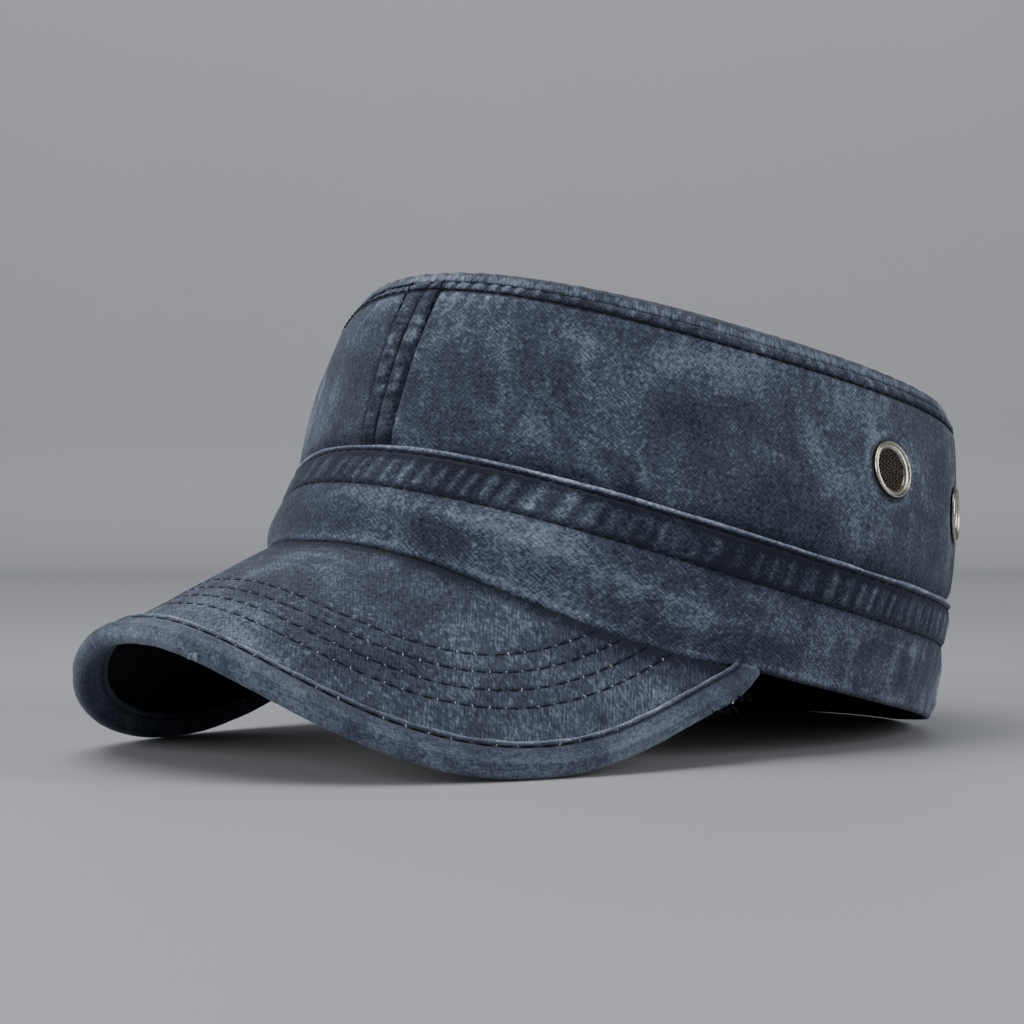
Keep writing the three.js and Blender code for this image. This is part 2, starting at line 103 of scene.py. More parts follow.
# Binding and sweatband
BINDING_WIDTH = 9
BINDING_LEAST_SHARE = 1.2
SWEATBAND_TOP = 4
SWEATBAND_LIFT = 1
# Eyelet radii and depth, and the name, angle from the front and height share of each
EYELET_OUTER = 7.5
EYELET_BORE = 6
EYELET_BARREL = 6.6
MESH_DEPTH = 0.6
EYELETS = [("1", 94, 0.53), ("2", 122, 0.455)]
FOLD_DEPTH = 1.6
# Soft folds: angle, height share, depth share, spans of the angle and of the height
FOLDS = [
    (24, -0.3, -0.6, 10, 0.25),
    (34, -0.62, 0.7, 14, 0.22),
    (62, -0.8, 0.6, 16, 0.25),
    (84, -0.55, -0.5, 14, 0.3),
    (128, -0.7, -0.7, 8, 0.4),
    (141, -0.7, 0.5, 7, 0.4),
    (28, 0.55, -0.5, 12, 0.35),
    (72, 0.6, -0.6, 16, 0.3),
    (100, 0.3, 0.5, 14, 0.3),
    (135, 0.55, -0.5, 12, 0.35),
]
# The level cap as it stands
PITCH = math.radians(14.473)
STAND_Y = 31.423
STAND_Z = 54.843

# Soft shifts of the worn cloth: where, how far each reaches, and how far and which way it goes
SHIFTS = [
    ((-40, -141, -71), 30, (1.3, 1.4, -0.5)),
    ((-42, 78, -36), 26, (0, 0, -1.6)),
    ((-45, -88, -22), 26, (0.9, 0.7, 0)),
    ((-38, -72, 44), 22, (1.1, 1.2, -1.1)),
    ((52, 66, 46), 24, (-0.9, -1.3, -0.6)),
    ((52, 82, -32), 24, (-0.6, -0.8, 0)),
    ((-15, 25, 54), 52, (0, 0, 1.3)),
]
# Both corners of the peak are drawn up and in under the band, and get thinner there
CORNER_LIFT = 3.2
LIFT_REACH = 24
LIFT_AHEAD = 14
CORNER_THINNING = 0.75
THINNING_REACH = 11
CORNER_TUCK = 1.3
CORNER_TUCK_FROM = 0.975
# Stitch rows, from the edge that each one follows
WALL_ROW = 4.3
PANEL_ROW = 4.2
RIDGE_ROW = 1.75
BAND_ROW = 11.5
RIM_ROW = 7.2
PEAK_STITCH_ROWS = (18.1, 23.1, 28.2, 33.3)
SEAM_ROW = 5
STITCH_PITCH = 4.3
RIM_PITCH = 5.5
THREAD = 0.21

# Steps in which a height is found, a small distance for slopes, and a guard against zero
SOLVER_STEPS = 40
PROBE = 0.5
TINY = 1e-12
# Points of a curve whose length is measured, the side of the noise tables, and their use
FINE_POINTS = 4001
LATTICE = 64
LEAST_WAVES = 3
WRINKLE_SHARPNESS = 7
# Upright puckers: what two noises shift them by, and how uneven and sharp they are
PLEAT_WARPS = ((0.9, 23), (0.35, 11))
PLEAT_LEAST = 0.68
PLEAT_SWING = 0.36
PLEAT_WAVE = 17
PLEAT_SHARPNESS = 1.8


# Shape of the level cap

def signed_power(value, power):
    return np.sign(value) * np.abs(value) ** power


def lerp(a, b, t):
    return a + (b - a) * t


def unit(vectors):
    """Vectors brought to a length of 1."""
    return vectors / (np.linalg.norm(vectors, axis=-1, keepdims=True) + TINY)


def running_length(path):
    """How far along a path each of its points lies."""
    return np.concatenate([[0], np.cumsum(np.linalg.norm(np.diff(path, axis=0), axis=1))])


def at_length(values, lengths, s):
    """What a path has, such as its points, at distances along it."""
    return np.stack([np.interp(s, lengths, values[:, i]) for i in range(values.shape[1])], -1)


def fold_at(angle, height):
    """How far the soft folds push the cloth out."""
    degrees = np.degrees(np.abs(np.arctan2(np.sin(angle), np.cos(angle))))
    share = np.where(height > 0, height / WALL_HEIGHT, height / BAND_HEIGHT)
    push = 0
    for at, level, depth, across, along in FOLDS:
        away = ((degrees - at) / across) ** 2 + ((share - level) / along) ** 2
        push = push + depth * np.exp(-away)
    return FOLD_DEPTH * push


def outline_at(height):
    """The crown's outline at a height: front, back, side, and how square its halves are."""
    up = np.maximum(0, height) / WALL_HEIGHT
    down = np.maximum(0, -height) / BAND_HEIGHT
    shoulder = np.maximum(0, height - WALL_HEIGHT + SHOULDER_HEIGHT) / SHOULDER_HEIGHT
    swell = 4 * WALL_BULGE * up * (1 - up) - SHOULDER_DEPTH * shoulder ** 2
    front = lerp(RIDGE_FRONT, TOP_FRONT, up) + BAND_FRONT_LEAN * down * (2 - down) + swell
    back = lerp(RIDGE_BACK, TOP_BACK, up) + BAND_BACK_LEAN * down + swell
    side = lerp(RIDGE_SIDE, TOP_SIDE, up) + BAND_SIDE_LEAN * down + swell
    square_front = lerp(lerp(RIDGE_SQUARE_FRONT, TOP_SQUARE_FRONT, up), BAND_SQUARE_FRONT, down)
    square_back = lerp(RIDGE_SQUARE_BACK, TOP_SQUARE_BACK, up)
    return front, back, side, square_front, square_back


def drop_at(x, frontness, height):
    """How far a level of the crown sinks towards its sides."""
    up = np.maximum(0, height) / WALL_HEIGHT
    front = lerp(RIDGE_DROP_FRONT, TOP_DROP_FRONT, up)
    everywhere = lerp(RIDGE_DROP, TOP_DROP, up)
    return (front * (1 + frontness) / 2 + everywhere) * (x / RIDGE_SIDE) ** 2


def crown_point(angle, height, out):
    """A point of the crown, at an angle from the front and at a distance out of its skin."""
    given = (np.asarray(value, float) for value in (angle, height, out))
    angle, height, out = np.broadcast_arrays(*given)
    front, back, side, square_front, square_back = outline_at(height)
    frontness = np.cos(angle)
    square = np.where(frontness > 0, square_front, square_back)
    length = np.where(frontness > 0, front, back)
    step = out + fold_at(angle, height)
    x = (side + step) * signed_power(np.sin(angle), 2 / square)
    y = -(length + step) * signed_power(frontness, 2 / square)
    return np.stack([x, y, height - drop_at(x, frontness, height)], -1)


def free_foot(angle):
    """The height of the band's lower edge where nothing lifts it."""
    return -BAND_HEIGHT - BAND_FRONT_EXTRA * (1 + np.cos(angle)) / 2


BAND_INNER = BAND_PROUD - BAND_CLOTH
CORNER_ANGLE = math.radians(PEAK_CORNER_ANGLE)
CORNER = crown_point(CORNER_ANGLE, free_foot(CORNER_ANGLE), BAND_PROUD)
CORNER_REACH = -CORNER[1] - RIDGE_FRONT
CORNER_FALL = CORNER_REACH * (PEAK_SLOPE + PEAK_ARCH_GAIN / PEAK_REACH)
PEAK_ARCH = CORNER_CLEARANCE - CORNER[2] - PEAK_SEAT - CORNER_FALL
PEAK_HALF_WIDTH = CORNER[0] + PEAK_CORNER_STEP
PEAK_LENGTH = CORNER[1] + RIDGE_FRONT + PEAK_REACH


def peak_z(x, y):
    """The height of the peak's arched skin."""
    reach = -y - RIDGE_FRONT
    depth = PEAK_ARCH + PEAK_ARCH_GAIN * reach / PEAK_REACH
    arch = depth * np.abs(x / CORNER[0]) ** PEAK_ARCH_POWER
    return -PEAK_SEAT - arch - PEAK_SLOPE * reach


def peak_normal(x, y):
    slope_x = (peak_z(x + PROBE, y) - peak_z(x - PROBE, y)) / (2 * PROBE)
    slope_y = (peak_z(x, y + PROBE) - peak_z(x, y - PROBE)) / (2 * PROBE)
    return unit(np.stack([-slope_x, -slope_y, np.ones_like(slope_x)], -1))


def corner_share(angle):
    """How near an angle is to a corner of the peak, from 0 to 1."""
    return np.minimum(1, np.abs(angle) / CORNER_ANGLE) ** CORNER_SHARPNESS


def lifted_foot(angle, out, seat_gap=SEAT_GAP):
    """The height of the band's lower edge over the peak."""
    free = free_foot(angle)
    share = corner_share(angle)
    clearance = seat_gap + (GAP + BINDING_CLOTH) * share
    height = free
    for _ in range(SOLVER_STEPS):
        point = crown_point(angle, height, out)
        x, y, z = point[..., 0], point[..., 1], point[..., 2]
        height = height + (peak_z(x, y) + clearance / peak_normal(x, y)[..., 2] - z) / 2
    return lerp(height, free, share)


def foot_height(angle, out, seat_gap=SEAT_GAP):
    """The same, and lifted where the cap stands on the floor."""
    free = lifted_foot(angle, out, seat_gap)
    height = free
    for _ in range(SOLVER_STEPS):
        point = crown_point(angle, height, out)
        ground = (point[..., 1] * math.sin(PITCH) - STAND_Z) / math.cos(PITCH)
        height = np.maximum(free, height + ground - point[..., 2])
    return height


def peak_edge(share):
    """The plan of the peak's edge, from -1 at one corner to 1 at the other."""
    turn = share * math.pi / 2
    x = PEAK_HALF_WIDTH * signed_power(np.sin(turn), 2 / PEAK_SQUARE)
    tuck = np.clip((np.abs(share) - CORNER_TUCK_FROM) / (1 - CORNER_TUCK_FROM), 0, 1)
    x = x - np.sign(share) * CORNER_TUCK * tuck ** 2
    y = CORNER[1] - PEAK_LENGTH * np.maximum(0, np.cos(turn)) ** (2 / PEAK_SQUARE)
    return np.stack([x, y], -1)


def peak_root(share):
    """The plan of the peak's inner edge, which the band hides."""
    angle = share * CORNER_ANGLE
    return crown_point(angle, lifted_foot(angle, BAND_INNER), BAND_INNER)[..., :2]


def by_corner(x, y):
    """How near a place of the peak is to either corner, from 0 to 1."""
    away = np.hypot(np.abs(x) - CORNER[0], y - CORNER[1])
    return np.exp(-(away / THINNING_REACH) ** 2)


def peak_top(x, y):
    """The peak's skin with its corners drawn up under the band."""
    away = np.hypot(np.abs(x) - CORNER[0], y - CORNER[1] + LIFT_AHEAD)
    return peak_z(x, y) + CORNER_LIFT * np.exp(-(away / LIFT_REACH) ** 2)


def on_skin(place, rise):
    """Points at a distance over the peak's skin."""
    x, y = place[..., 0], place[..., 1]
    skin = np.stack([x, y, peak_top(x, y)], -1)
    return skin + peak_normal(x, y) * np.asarray(rise)[..., None]


def settle(points):
    """The cloth as it has settled: small soft shifts of the level cap."""
    moved = np.array(points, float)
    for centre, reach, shift in SHIFTS:
        away = np.linalg.norm((points - np.array(centre)) / reach, axis=-1, keepdims=True)
        moved = moved + np.exp(-away ** 2) * np.array(shift)
    return moved


def stand(points):
    """From the level cap in millimetres to the cap as it stands, in metres."""
    points = settle(points)
    x, y, z = points[..., 0], points[..., 1], points[..., 2]
    along = y * math.cos(PITCH) + z * math.sin(PITCH) + STAND_Y
    up = z * math.cos(PITCH) - y * math.sin(PITCH) + STAND_Z
    return np.stack([x, along, up], -1) * MM


def stand_on_floor(points):
    """The same for cloth that rests on the floor, which it doesn't sink into."""
    placed = stand(points)
    placed[..., 2] = np.maximum(placed[..., 2], FLOOR_CLEARANCE)
    return placed


# Soft noise

def lattice(seed):
    return np.random.RandomState(seed).rand(LATTICE, LATTICE) * 2 - 1


def noise(x, y, seed, period=LATTICE):
    """Smooth value noise from -1 to 1, repeating after a whole number of steps in x."""
    table = lattice(seed)
    x, y = np.broadcast_arrays(np.asarray(x, float), np.asarray(y, float))
    column, row = np.floor(x).astype(int), np.floor(y).astype(int)
    u, v = x - column, y - row
    u, v = u * u * (3 - 2 * u), v * v * (3 - 2 * v)
    left, right = column % period, (column + 1) % period
    low, high = row % LATTICE, (row + 1) % LATTICE
    under = lerp(table[low, left], table[low, right], u)
    over = lerp(table[high, left], table[high, right], u)
    return lerp(under, over, v)


def bell(distance, width):
    """1 at a place, and less and less to both sides of it."""
    return np.exp(-(distance / width) ** 2)


def fade(distance, reach):
    """1 before a place, and less and less past it."""
    return np.exp(-np.maximum(0, distance) / reach)


def beats(turns):
    """From 1 to 0 and back in each whole turn."""
    return 0.5 + 0.5 * np.cos(2 * math.pi * turns)


def step(value, start, end):
    """From 0 before the start to 1 past the end, smoothly."""
    t = np.clip((value - start) / (end - start), 0, 1)
    return t * t * (3 - 2 * t)


# Arc lengths round the ridge, so that columns and stitches are evenly spaced
RING_ANGLES = np.linspace(-math.pi, math.pi, FINE_POINTS)
RING_ARCS = running_length(crown_point(RING_ANGLES, 0, 0))
RING_LENGTH = RING_ARCS[-1]
RING_ARCS = RING_ARCS - np.interp(0, RING_ANGLES, RING_ARCS)


def arc_of(angle):
    """The arc along the ridge from the middle of its front."""
    return np.interp(angle, RING_ANGLES, RING_ARCS)


def angle_of(arc):
    return np.interp(arc, RING_ARCS, RING_ANGLES)


def ring_noise(arc, height, wave, tall, seed):
    """Noise round the cap, with waves of a length, meeting itself at the back."""
    count = max(LEAST_WAVES, min(LATTICE, round(RING_LENGTH / wave)))
    turns = arc / RING_LENGTH * count
    return noise(turns, height / tall, seed, count)


def ring_wave(arc, wave, seed):
    """Noise round the cap that is the same at every height."""
    return ring_noise(arc, 0, wave, 1, seed)


def layered(arc, height, layers):
    """A sum of noises round the cap: the depth, wave, height of wave and seed of each."""
    return sum(depth * ring_noise(arc, height, wave, tall, seed)
               for depth, wave, tall, seed in layers)


def wrinkles(arc, height, wave, tall, seed):
    """Thin wandering creases round the cap, from 0 to 1."""
    return (1 - np.abs(ring_noise(arc, height, wave, tall, seed))) ** WRINKLE_SHARPNESS


def pleats(arc, pitch, seed):
    """Uneven upright puckers round the cap, from about 0 to 1."""
    warp = sum(push * ring_wave(arc, wave, seed + k) for k, (push, wave) in enumerate(PLEAT_WARPS))
    turns = arc / RING_LENGTH * round(RING_LENGTH / pitch) + warp
    strength = PLEAT_LEAST + PLEAT_SWING * ring_wave(arc, PLEAT_WAVE, seed + len(PLEAT_WARPS))
    return beats(turns) ** PLEAT_SHARPNESS * strength


def ring_arcs(count):
    """Evenly spaced places round the whole cap, from the middle of its back."""
    return np.linspace(-RING_LENGTH / 2, RING_LENGTH / 2, count + 1)[:-1]


SEAM_ARC = float(arc_of(math.radians(FRONT_SEAM_ANGLE)))


# Mesh building

# A direction that no thread runs along
TUBE_UP = np.array([0.31, 0.17, 0.93])
# One stitch: its radius along it, how it rises out of the cloth, and how uneven the stitches are
STITCH_SWELL = np.array([0.45, 0.85, 1, 1.04, 1, 0.85, 0.45])
STITCH_RISE = 1.35
STITCH_SINK = 1.1
STITCH_SIDES = 6
STITCH_SEED = 100
LENGTH_SCATTER = 0.05
PLACE_SCATTER = 0.12
SLANT_SCATTER = 0.12


def add_object(name, verts, polys):
    """A mesh object from points in metres and a list of arrays of faces."""
    mesh = bpy.data.meshes.new(name)
    sizes = np.concatenate([np.full(len(p), p.shape[1]) for p in polys])
    corners = np.concatenate([p.reshape(-1) for p in polys])
    mesh.vertices.add(len(verts))
    mesh.vertices.foreach_set("co", verts.astype(np.float32).reshape(-1))
    mesh.loops.add(len(corners))
    mesh.loops.foreach_set("vertex_index", corners.astype(np.int32))
    mesh.polygons.add(len(sizes))
    starts = np.concatenate([[0], np.cumsum(sizes)[:-1]])
    mesh.polygons.foreach_set("loop_start", starts.astype(np.int32))
    mesh.polygons.foreach_set("use_smooth", np.ones(len(sizes), bool))
    mesh.update(calc_edges=True)
    mesh.validate()
    obj = bpy.data.objects.new(name, mesh)
    bpy.context.scene.collection.objects.link(obj)
    return obj


def set_uv(obj, uv):
    layer = obj.data.uv_layers.new(name="cloth")
    layer.data.foreach_set("uv", uv.astype(np.float32).reshape(-1))


def set_field(obj, name, values):
    field = obj.data.attributes.new(name, "FLOAT", "POINT")
    field.data.foreach_set("value", values.astype(np.float32).reshape(-1))


def ring_cells(rows, columns):
    """The row, column and next column of each cell of a grid whose columns meet in a ring."""
    r, c = np.meshgrid(np.arange(rows), np.arange(columns), indexing="ij")
    r, c = r.reshape(-1), c.reshape(-1)
    return r, c, (c + 1) % columns


def shell(name, outer, inner, uv, fields, wraps=False, holes=None):
    """A closed cloth shell: an outer and an inner grid of points, joined at their rims and
    round the cells that are holes. uv has a row and a column for each grid point, and one
    more column where the grid wraps."""
    rows, columns = outer.shape[:2]
    verts = np.concatenate([outer.reshape(-1, 3), inner.reshape(-1, 3)])
    last = columns if wraps else columns - 1
    cells = np.ones((rows - 1, last), bool) if holes is None else ~holes
    faces, maps = [], []

    def add(*corners):
        """Quads, with a side, a row and a column for each corner."""
        faces.append(np.stack([(side * rows + row) * columns + column % columns
                               for side, row, column in corners], 1))
        maps.append(np.stack([uv[row, column] for _, row, column in corners], 1))

    r, c = np.nonzero(cells)
    add((0, r, c), (0, r, c + 1), (0, r + 1, c + 1), (0, r + 1, c))
    add((1, r, c), (1, r + 1, c), (1, r + 1, c + 1), (1, r, c + 1))
    k, end = np.arange(last), rows - 1
    add((1, 0, k), (1, 0, k + 1), (0, 0, k + 1), (0, 0, k))
    add((0, end, k), (0, end, k + 1), (1, end, k + 1), (1, end, k))
    if holes is not None:
        # One wall between the two faces wherever a hole meets a cell
        for dr, dc, a, b in ((0, 1, (0, 1), (1, 1)), (0, -1, (1, 0), (0, 0)),
                             (1, 0, (1, 1), (1, 0)), (-1, 0, (0, 0), (0, 1))):
            near = cells & np.roll(holes, (-dr, -dc), (0, 1))
            y, x = np.nonzero(near)
            start, stop = (y + a[0], x + a[1]), (y + b[0], x + b[1])
            add((0, *stop), (0, *start), (1, *start), (1, *stop))
    if not wraps:
        k, end = np.arange(rows - 1), columns - 1
        add((0, k, 0), (0, k + 1, 0), (1, k + 1, 0), (1, k, 0))
        add((0, k + 1, end), (0, k, end), (1, k, end), (1, k + 1, end))
    faces, maps = np.concatenate(faces), np.concatenate(maps)
    if volume(verts, faces) < 0:
        faces, maps = faces[:, ::-1], maps[:, ::-1]
    obj = add_object(name, verts, [faces])
    set_uv(obj, maps * MM)
    for field, values in fields.items():
        set_field(obj, field, np.concatenate([values.reshape(-1), values.reshape(-1)]))
    return obj


def joined_uv(uv, length):
    """A uv grid with its first column again at its end, moved on by a length."""
    extra = uv[:, :1].copy()
    extra[..., 0] += length
    return np.concatenate([uv, extra], 1)


def volume(verts, quads):
    """The volume inside quads, which is negative where they face inwards."""
    a, b, c, d = (verts[quads[:, i]] for i in range(4))
    return float(((a * np.cross(b, c)).sum() + (a * np.cross(c, d)).sum()) / 6)


def tube_parts(paths, radii, sides):
    """Verts and faces of round tubes along many paths: arrays of points with one radius each."""
    verts, quads, tris, offset = [], [], [], 0
    turn = np.arange(sides)[:, None] / sides * 2 * math.pi
    for path, radius in zip(paths, radii):
        count = len(path)
        radius = np.broadcast_to(np.asarray(radius, float), (count,))
        tangent = unit(np.gradient(path, axis=0))
        across = unit(np.cross(tangent, TUBE_UP))
        other = np.cross(tangent, across)
        ring = across[:, None] * np.cos(turn) + other[:, None] * np.sin(turn)
        verts.append((path[:, None] + ring * radius[:, None, None]).reshape(-1, 3))
        r, c, n = ring_cells(count - 1, sides)
        low, high = offset + r * sides, offset + (r + 1) * sides
        quads.append(np.stack([low + c, low + n, high + n, high + c], 1))
        k = np.arange(1, sides - 1)
        base = offset + (count - 1) * sides
        tris.append(np.stack([np.full_like(k, offset), offset + k + 1, offset + k], 1))
        tris.append(np.stack([np.full_like(k, base), base + k, base + k + 1], 1))
        offset += count * sides
    return np.concatenate(verts), [np.concatenate(quads), np.concatenate(tris)]


def scatter(rng, size):
    """A random number to either side of 0."""
    return size * (rng.rand() - 0.5)


def stitches(name, rows):
    """Short threads let into the cloth: each row is a path on the skin, the outward
    directions along it, the stitch pitch and the share of the pitch that shows."""
    paths, radii = [], []
    t = np.linspace(0, 1, len(STITCH_SWELL))
    lift = THREAD * (STITCH_RISE * (4 * t * (1 - t)) ** 0.5 - STITCH_SINK)
    for index, (path, outward, pitch, share) in enumerate(rows):
        rng = np.random.RandomState(STITCH_SEED + index)
        lengths = running_length(path)
        count = max(1, int(round(lengths[-1] / pitch)))
        real = lengths[-1] / count
        for k in range(count):
            long = real * (share + scatter(rng, LENGTH_SCATTER))
            start = k * real + (real - long) / 2 + scatter(rng, PLACE_SCATTER)
            s = start + t * long
            at, up = at_length(path, lengths, s), at_length(outward, lengths, s)
            side = unit(np.cross(up, np.gradient(at, axis=0)))
            slant = scatter(rng, SLANT_SCATTER)
            paths.append(at + up * lift[:, None] + side * (slant * (2 * t - 1))[:, None])
            radii.append(THREAD * STITCH_SWELL)
    verts, faces = tube_parts(paths, radii, STITCH_SIDES)
    return add_object(name, stand(verts), faces)


# Materials

class Nodes:
    """A small helper to lay out a shader."""

    def __init__(self, name):
        self.material = bpy.data.materials.new(name)
        self.material.use_nodes = True
        self.tree = self.material.node_tree
        self.shader = self.tree.nodes["Principled BSDF"]

    def add(self, kind, inputs=None, **settings):
        node = self.tree.nodes.new(kind)
        for key, value in settings.items():
            setattr(node, key, value)
        for key, value in (inputs or {}).items():
            self.put(node.inputs[key], value)
        return node

    def put(self, socket, value):
        if isinstance(value, bpy.types.NodeSocket):
            self.tree.links.new(value, socket)
        else:
            socket.default_value = value

    def math(self, operation, a, b=0.0, c=0.0, clamp=False):
        node = self.tree.nodes.new("ShaderNodeMath")
        node.operation = operation
        node.use_clamp = clamp
        for socket, value in zip(node.inputs, (a, b, c)):
            self.put(socket, value)
        return node.outputs[0]

    def mix(self, factor, a, b):
        node = self.tree.nodes.new("ShaderNodeMix")
        node.data_type = "RGBA"
        self.put(node.inputs["Factor"], factor)
        self.put(node.inputs["A"], a)
        self.put(node.inputs["B"], b)
        return node.outputs["Result"]

    def noise(self, vector, scale, detail=3.0, roughness=0.5, distortion=0.0):
        node = self.add("ShaderNodeTexNoise", {"Vector": vector, "Scale": scale, "Detail": detail,
                                               "Roughness": roughness, "Distortion": distortion})
        return node.outputs["Fac"]

    def ramp(self, value, low, high):
        node = self.add("ShaderNodeMapRange", {"Value": value, "From Min": low, "From Max": high},
                        interpolation_type="SMOOTHSTEP")
        return node.outputs["Result"]

    def field(self, name):
        return self.add("ShaderNodeAttribute", attribute_name=name).outputs["Fac"]

    def bump(self, height, strength, distance, normal=None):
        inputs = {"Height": height, "Strength": strength, "Distance": distance}
        if normal is not None:
            inputs["Normal"] = normal
        return self.add("ShaderNodeBump", inputs).outputs["Normal"]


def linear(hexcode):
    """A hex colour as the linear one that shaders take."""
    values = [int(hexcode[i:i + 2], 16) / 255 for i in (0, 2, 4)]
    return tuple(v / 12.92 if v <= 0.04045 else ((v + 0.055) / 1.055) ** 2.4 for v in values) + (1,)


# Noises of the wash, as scale, detail, roughness and distortion, and the share of each
CLOUDS = (30, 6, 0.6, 0.9)
MOTTLE = (130, 6, 0.7, 0.6)
SPECKS = (900, 3, 0.7)
GRAINS = (420, 4, 0.7, 0.4)
CRUMPLE = (210, 4, 0.6)
CLOUD_SHARE = 0.6
MOTTLE_SHARE = 0.3
GRAIN_SHARE = 0.1
WASH_BELOW = 0.15
WASH_ABOVE = 0.17
# The weave in metres and degrees: drifting ribs, and strokes that cross each other
RIB_PITCH = 0.0009
RIB_DRIFT = 0.0011
RIB_DRIFT_SCALE = 1300
RIB_SHARE = 0.12
STROKE_SCALE = 1900
STROKE_LENGTH_SHARE = 0.34
STROKE_CROSSING = 75
STROKE_CONTRAST = 2.3
# How much each thing lightens or darkens the cloth, and the tones between its colours
WEAVE_TONE = 0.75
SPECK_TONE = 0.9
WORN_AND_LIT_TONE = 0.95
SHADE_TONE = 0.95
TONE_STEPS = ((-0.4, 0.5), (0.4, 1.2), (1.15, 2.0))
SHEEN = {
    "Specular IOR Level": 0.18,
    "Sheen Weight": 0.22,
    "Sheen Roughness": 0.45,
    "Sheen Tint": (0.62, 0.68, 0.78, 1),
}
# Heights of the bumps in metres
WEAVE_BUMP = 0.00022
CRUMPLE_BUMP = 0.0006
THREAD_BUMP = 0.0003
SCRATCH_BUMP = 0.0001


def twill(name, colours, contrast=1.0, weave=1.0, grain=45):
    """Washed cotton twill in colours from dark to pale: blotched by the wash, pale where it
    is worn and where highlight is painted, and darker where shade is painted in its seams."""
    n = Nodes(name)
    place = n.add("ShaderNodeTexCoord").outputs["Object"]
    cloth = n.add("ShaderNodeUVMap", uv_map="cloth").outputs["UV"]
    # The first field is wear together with painted highlight, the second is painted shade
    wear_and_highlight = n.field("wear_and_highlight")
    shade = n.field("shade")
    noises = [n.noise(place, *kind) for kind in (CLOUDS, MOTTLE, SPECKS, GRAINS)]
    clouds, mottle, specks, grains = noises
    mottled = n.math("MULTIPLY", mottle, MOTTLE_SHARE)
    wash = n.math("ADD", n.math("MULTIPLY", clouds, CLOUD_SHARE), mottled)
    wash = n.math("MULTIPLY_ADD", grains, GRAIN_SHARE, wash)
    wash = n.ramp(wash, 0.5 - WASH_BELOW / contrast, 0.5 + WASH_ABOVE / contrast)
    # Short threads slanting both ways, over ribs along the second way
    strokes = []
    for tilt in (grain, grain + STROKE_CROSSING):
        turned = n.add("ShaderNodeVectorRotate", {"Vector": cloth, "Angle": math.radians(tilt)},
                       rotation_type="Z_AXIS").outputs["Vector"]
        drawn = n.add("ShaderNodeVectorMath", {0: turned, 1: (1.0, STROKE_LENGTH_SHARE, 1.0)},
                      operation="MULTIPLY").outputs["Vector"]
        strokes.append(n.noise(drawn, STROKE_SCALE, 2, 0.6))
    split = n.add("ShaderNodeSeparateXYZ", {"Vector": turned})
    drift = n.noise(cloth, RIB_DRIFT_SCALE, 2, 0.6)
    rib_place = n.math("MULTIPLY_ADD", drift, RIB_DRIFT, split.outputs["X"])
    ribs = n.math("SINE", n.math("MULTIPLY", rib_place, 2 * math.pi / RIB_PITCH))
    woven = n.math("SUBTRACT", n.math("ADD", strokes[0], strokes[1]), 1.0)
    woven = n.math("MULTIPLY_ADD", woven, STROKE_CONTRAST, n.math("MULTIPLY", ribs, RIB_SHARE))
    woven = n.math("ADD", woven, 0.5)
    # One tone decides the colour
    # Wear and painted highlight lighten the tone, painted shade darkens it
    worn_and_lit = n.math("MULTIPLY", wear_and_highlight, n.math("MULTIPLY_ADD", mottle, 1.2, 0.4), clamp=True)
    tone = n.math("MULTIPLY_ADD", n.math("SUBTRACT", woven, 0.5), WEAVE_TONE * weave, wash)
    tone = n.math("MULTIPLY_ADD", n.math("SUBTRACT", specks, 0.5), SPECK_TONE, tone)
    tone = n.math("MULTIPLY_ADD", worn_and_lit, WORN_AND_LIT_TONE, tone)
    tone = n.math("SUBTRACT", tone, n.math("MULTIPLY", shade, SHADE_TONE))
    colour, *lighter = (linear(code) for code in colours)
    for (low, high), other in zip(TONE_STEPS, lighter):
        colour = n.mix(n.ramp(tone, low, high), colour, other)
    n.put(n.shader.inputs["Base Color"], colour)
    n.put(n.shader.inputs["Roughness"], n.math("MULTIPLY_ADD", specks, 0.12, 0.84))
    for socket, value in SHEEN.items():
        n.shader.inputs[socket].default_value = value
    crumple = n.bump(n.noise(place, *CRUMPLE), 0.5, CRUMPLE_BUMP)
    n.put(n.shader.inputs["Normal"], n.bump(woven, 0.55 * weave, WEAVE_BUMP, crumple))
    return n.material


def plain_cloth(name, base, other, scale):
    """Matte cloth or thread of two colours, with specks a fifth as large as its blotches."""
    n = Nodes(name)
    place = n.add("ShaderNodeTexCoord").outputs["Object"]
    blotches = n.noise(place, scale, 4, 0.6)
    fine = n.noise(place, scale * 5, 2, 0.6)
    colour = n.mix(n.ramp(blotches, 0.3, 0.7), linear(base), linear(other))
    n.put(n.shader.inputs["Base Color"], colour)
    n.put(n.shader.inputs["Roughness"], n.math("MULTIPLY_ADD", fine, 0.08, 0.9))
    n.shader.inputs["Specular IOR Level"].default_value = 0.15
    n.put(n.shader.inputs["Normal"], n.bump(fine, 0.5, THREAD_BUMP))
    return n.material


def metal(name, base, tarnish, rough):
    """Metal that is tarnished in its hollows and in stains."""
    n = Nodes(name)
    place = n.add("ShaderNodeTexCoord").outputs["Object"]
    stains = n.noise(place, 900, 4, 0.65)
    scratches = n.noise(place, 4200, 2, 0.7)
    hollow = n.field("shade")
    dirt = n.math("MULTIPLY_ADD", n.ramp(stains, 0.5, 0.75), 0.5, hollow, clamp=True)
    n.put(n.shader.inputs["Base Color"], n.mix(dirt, linear(base), linear(tarnish)))
    n.shader.inputs["Metallic"].default_value = 1
    n.put(n.shader.inputs["Roughness"], n.math("MULTIPLY_ADD", dirt, 0.25, rough))
    n.put(n.shader.inputs["Normal"], n.bump(scratches, 0.12, SCRATCH_BUMP))
    return n.material


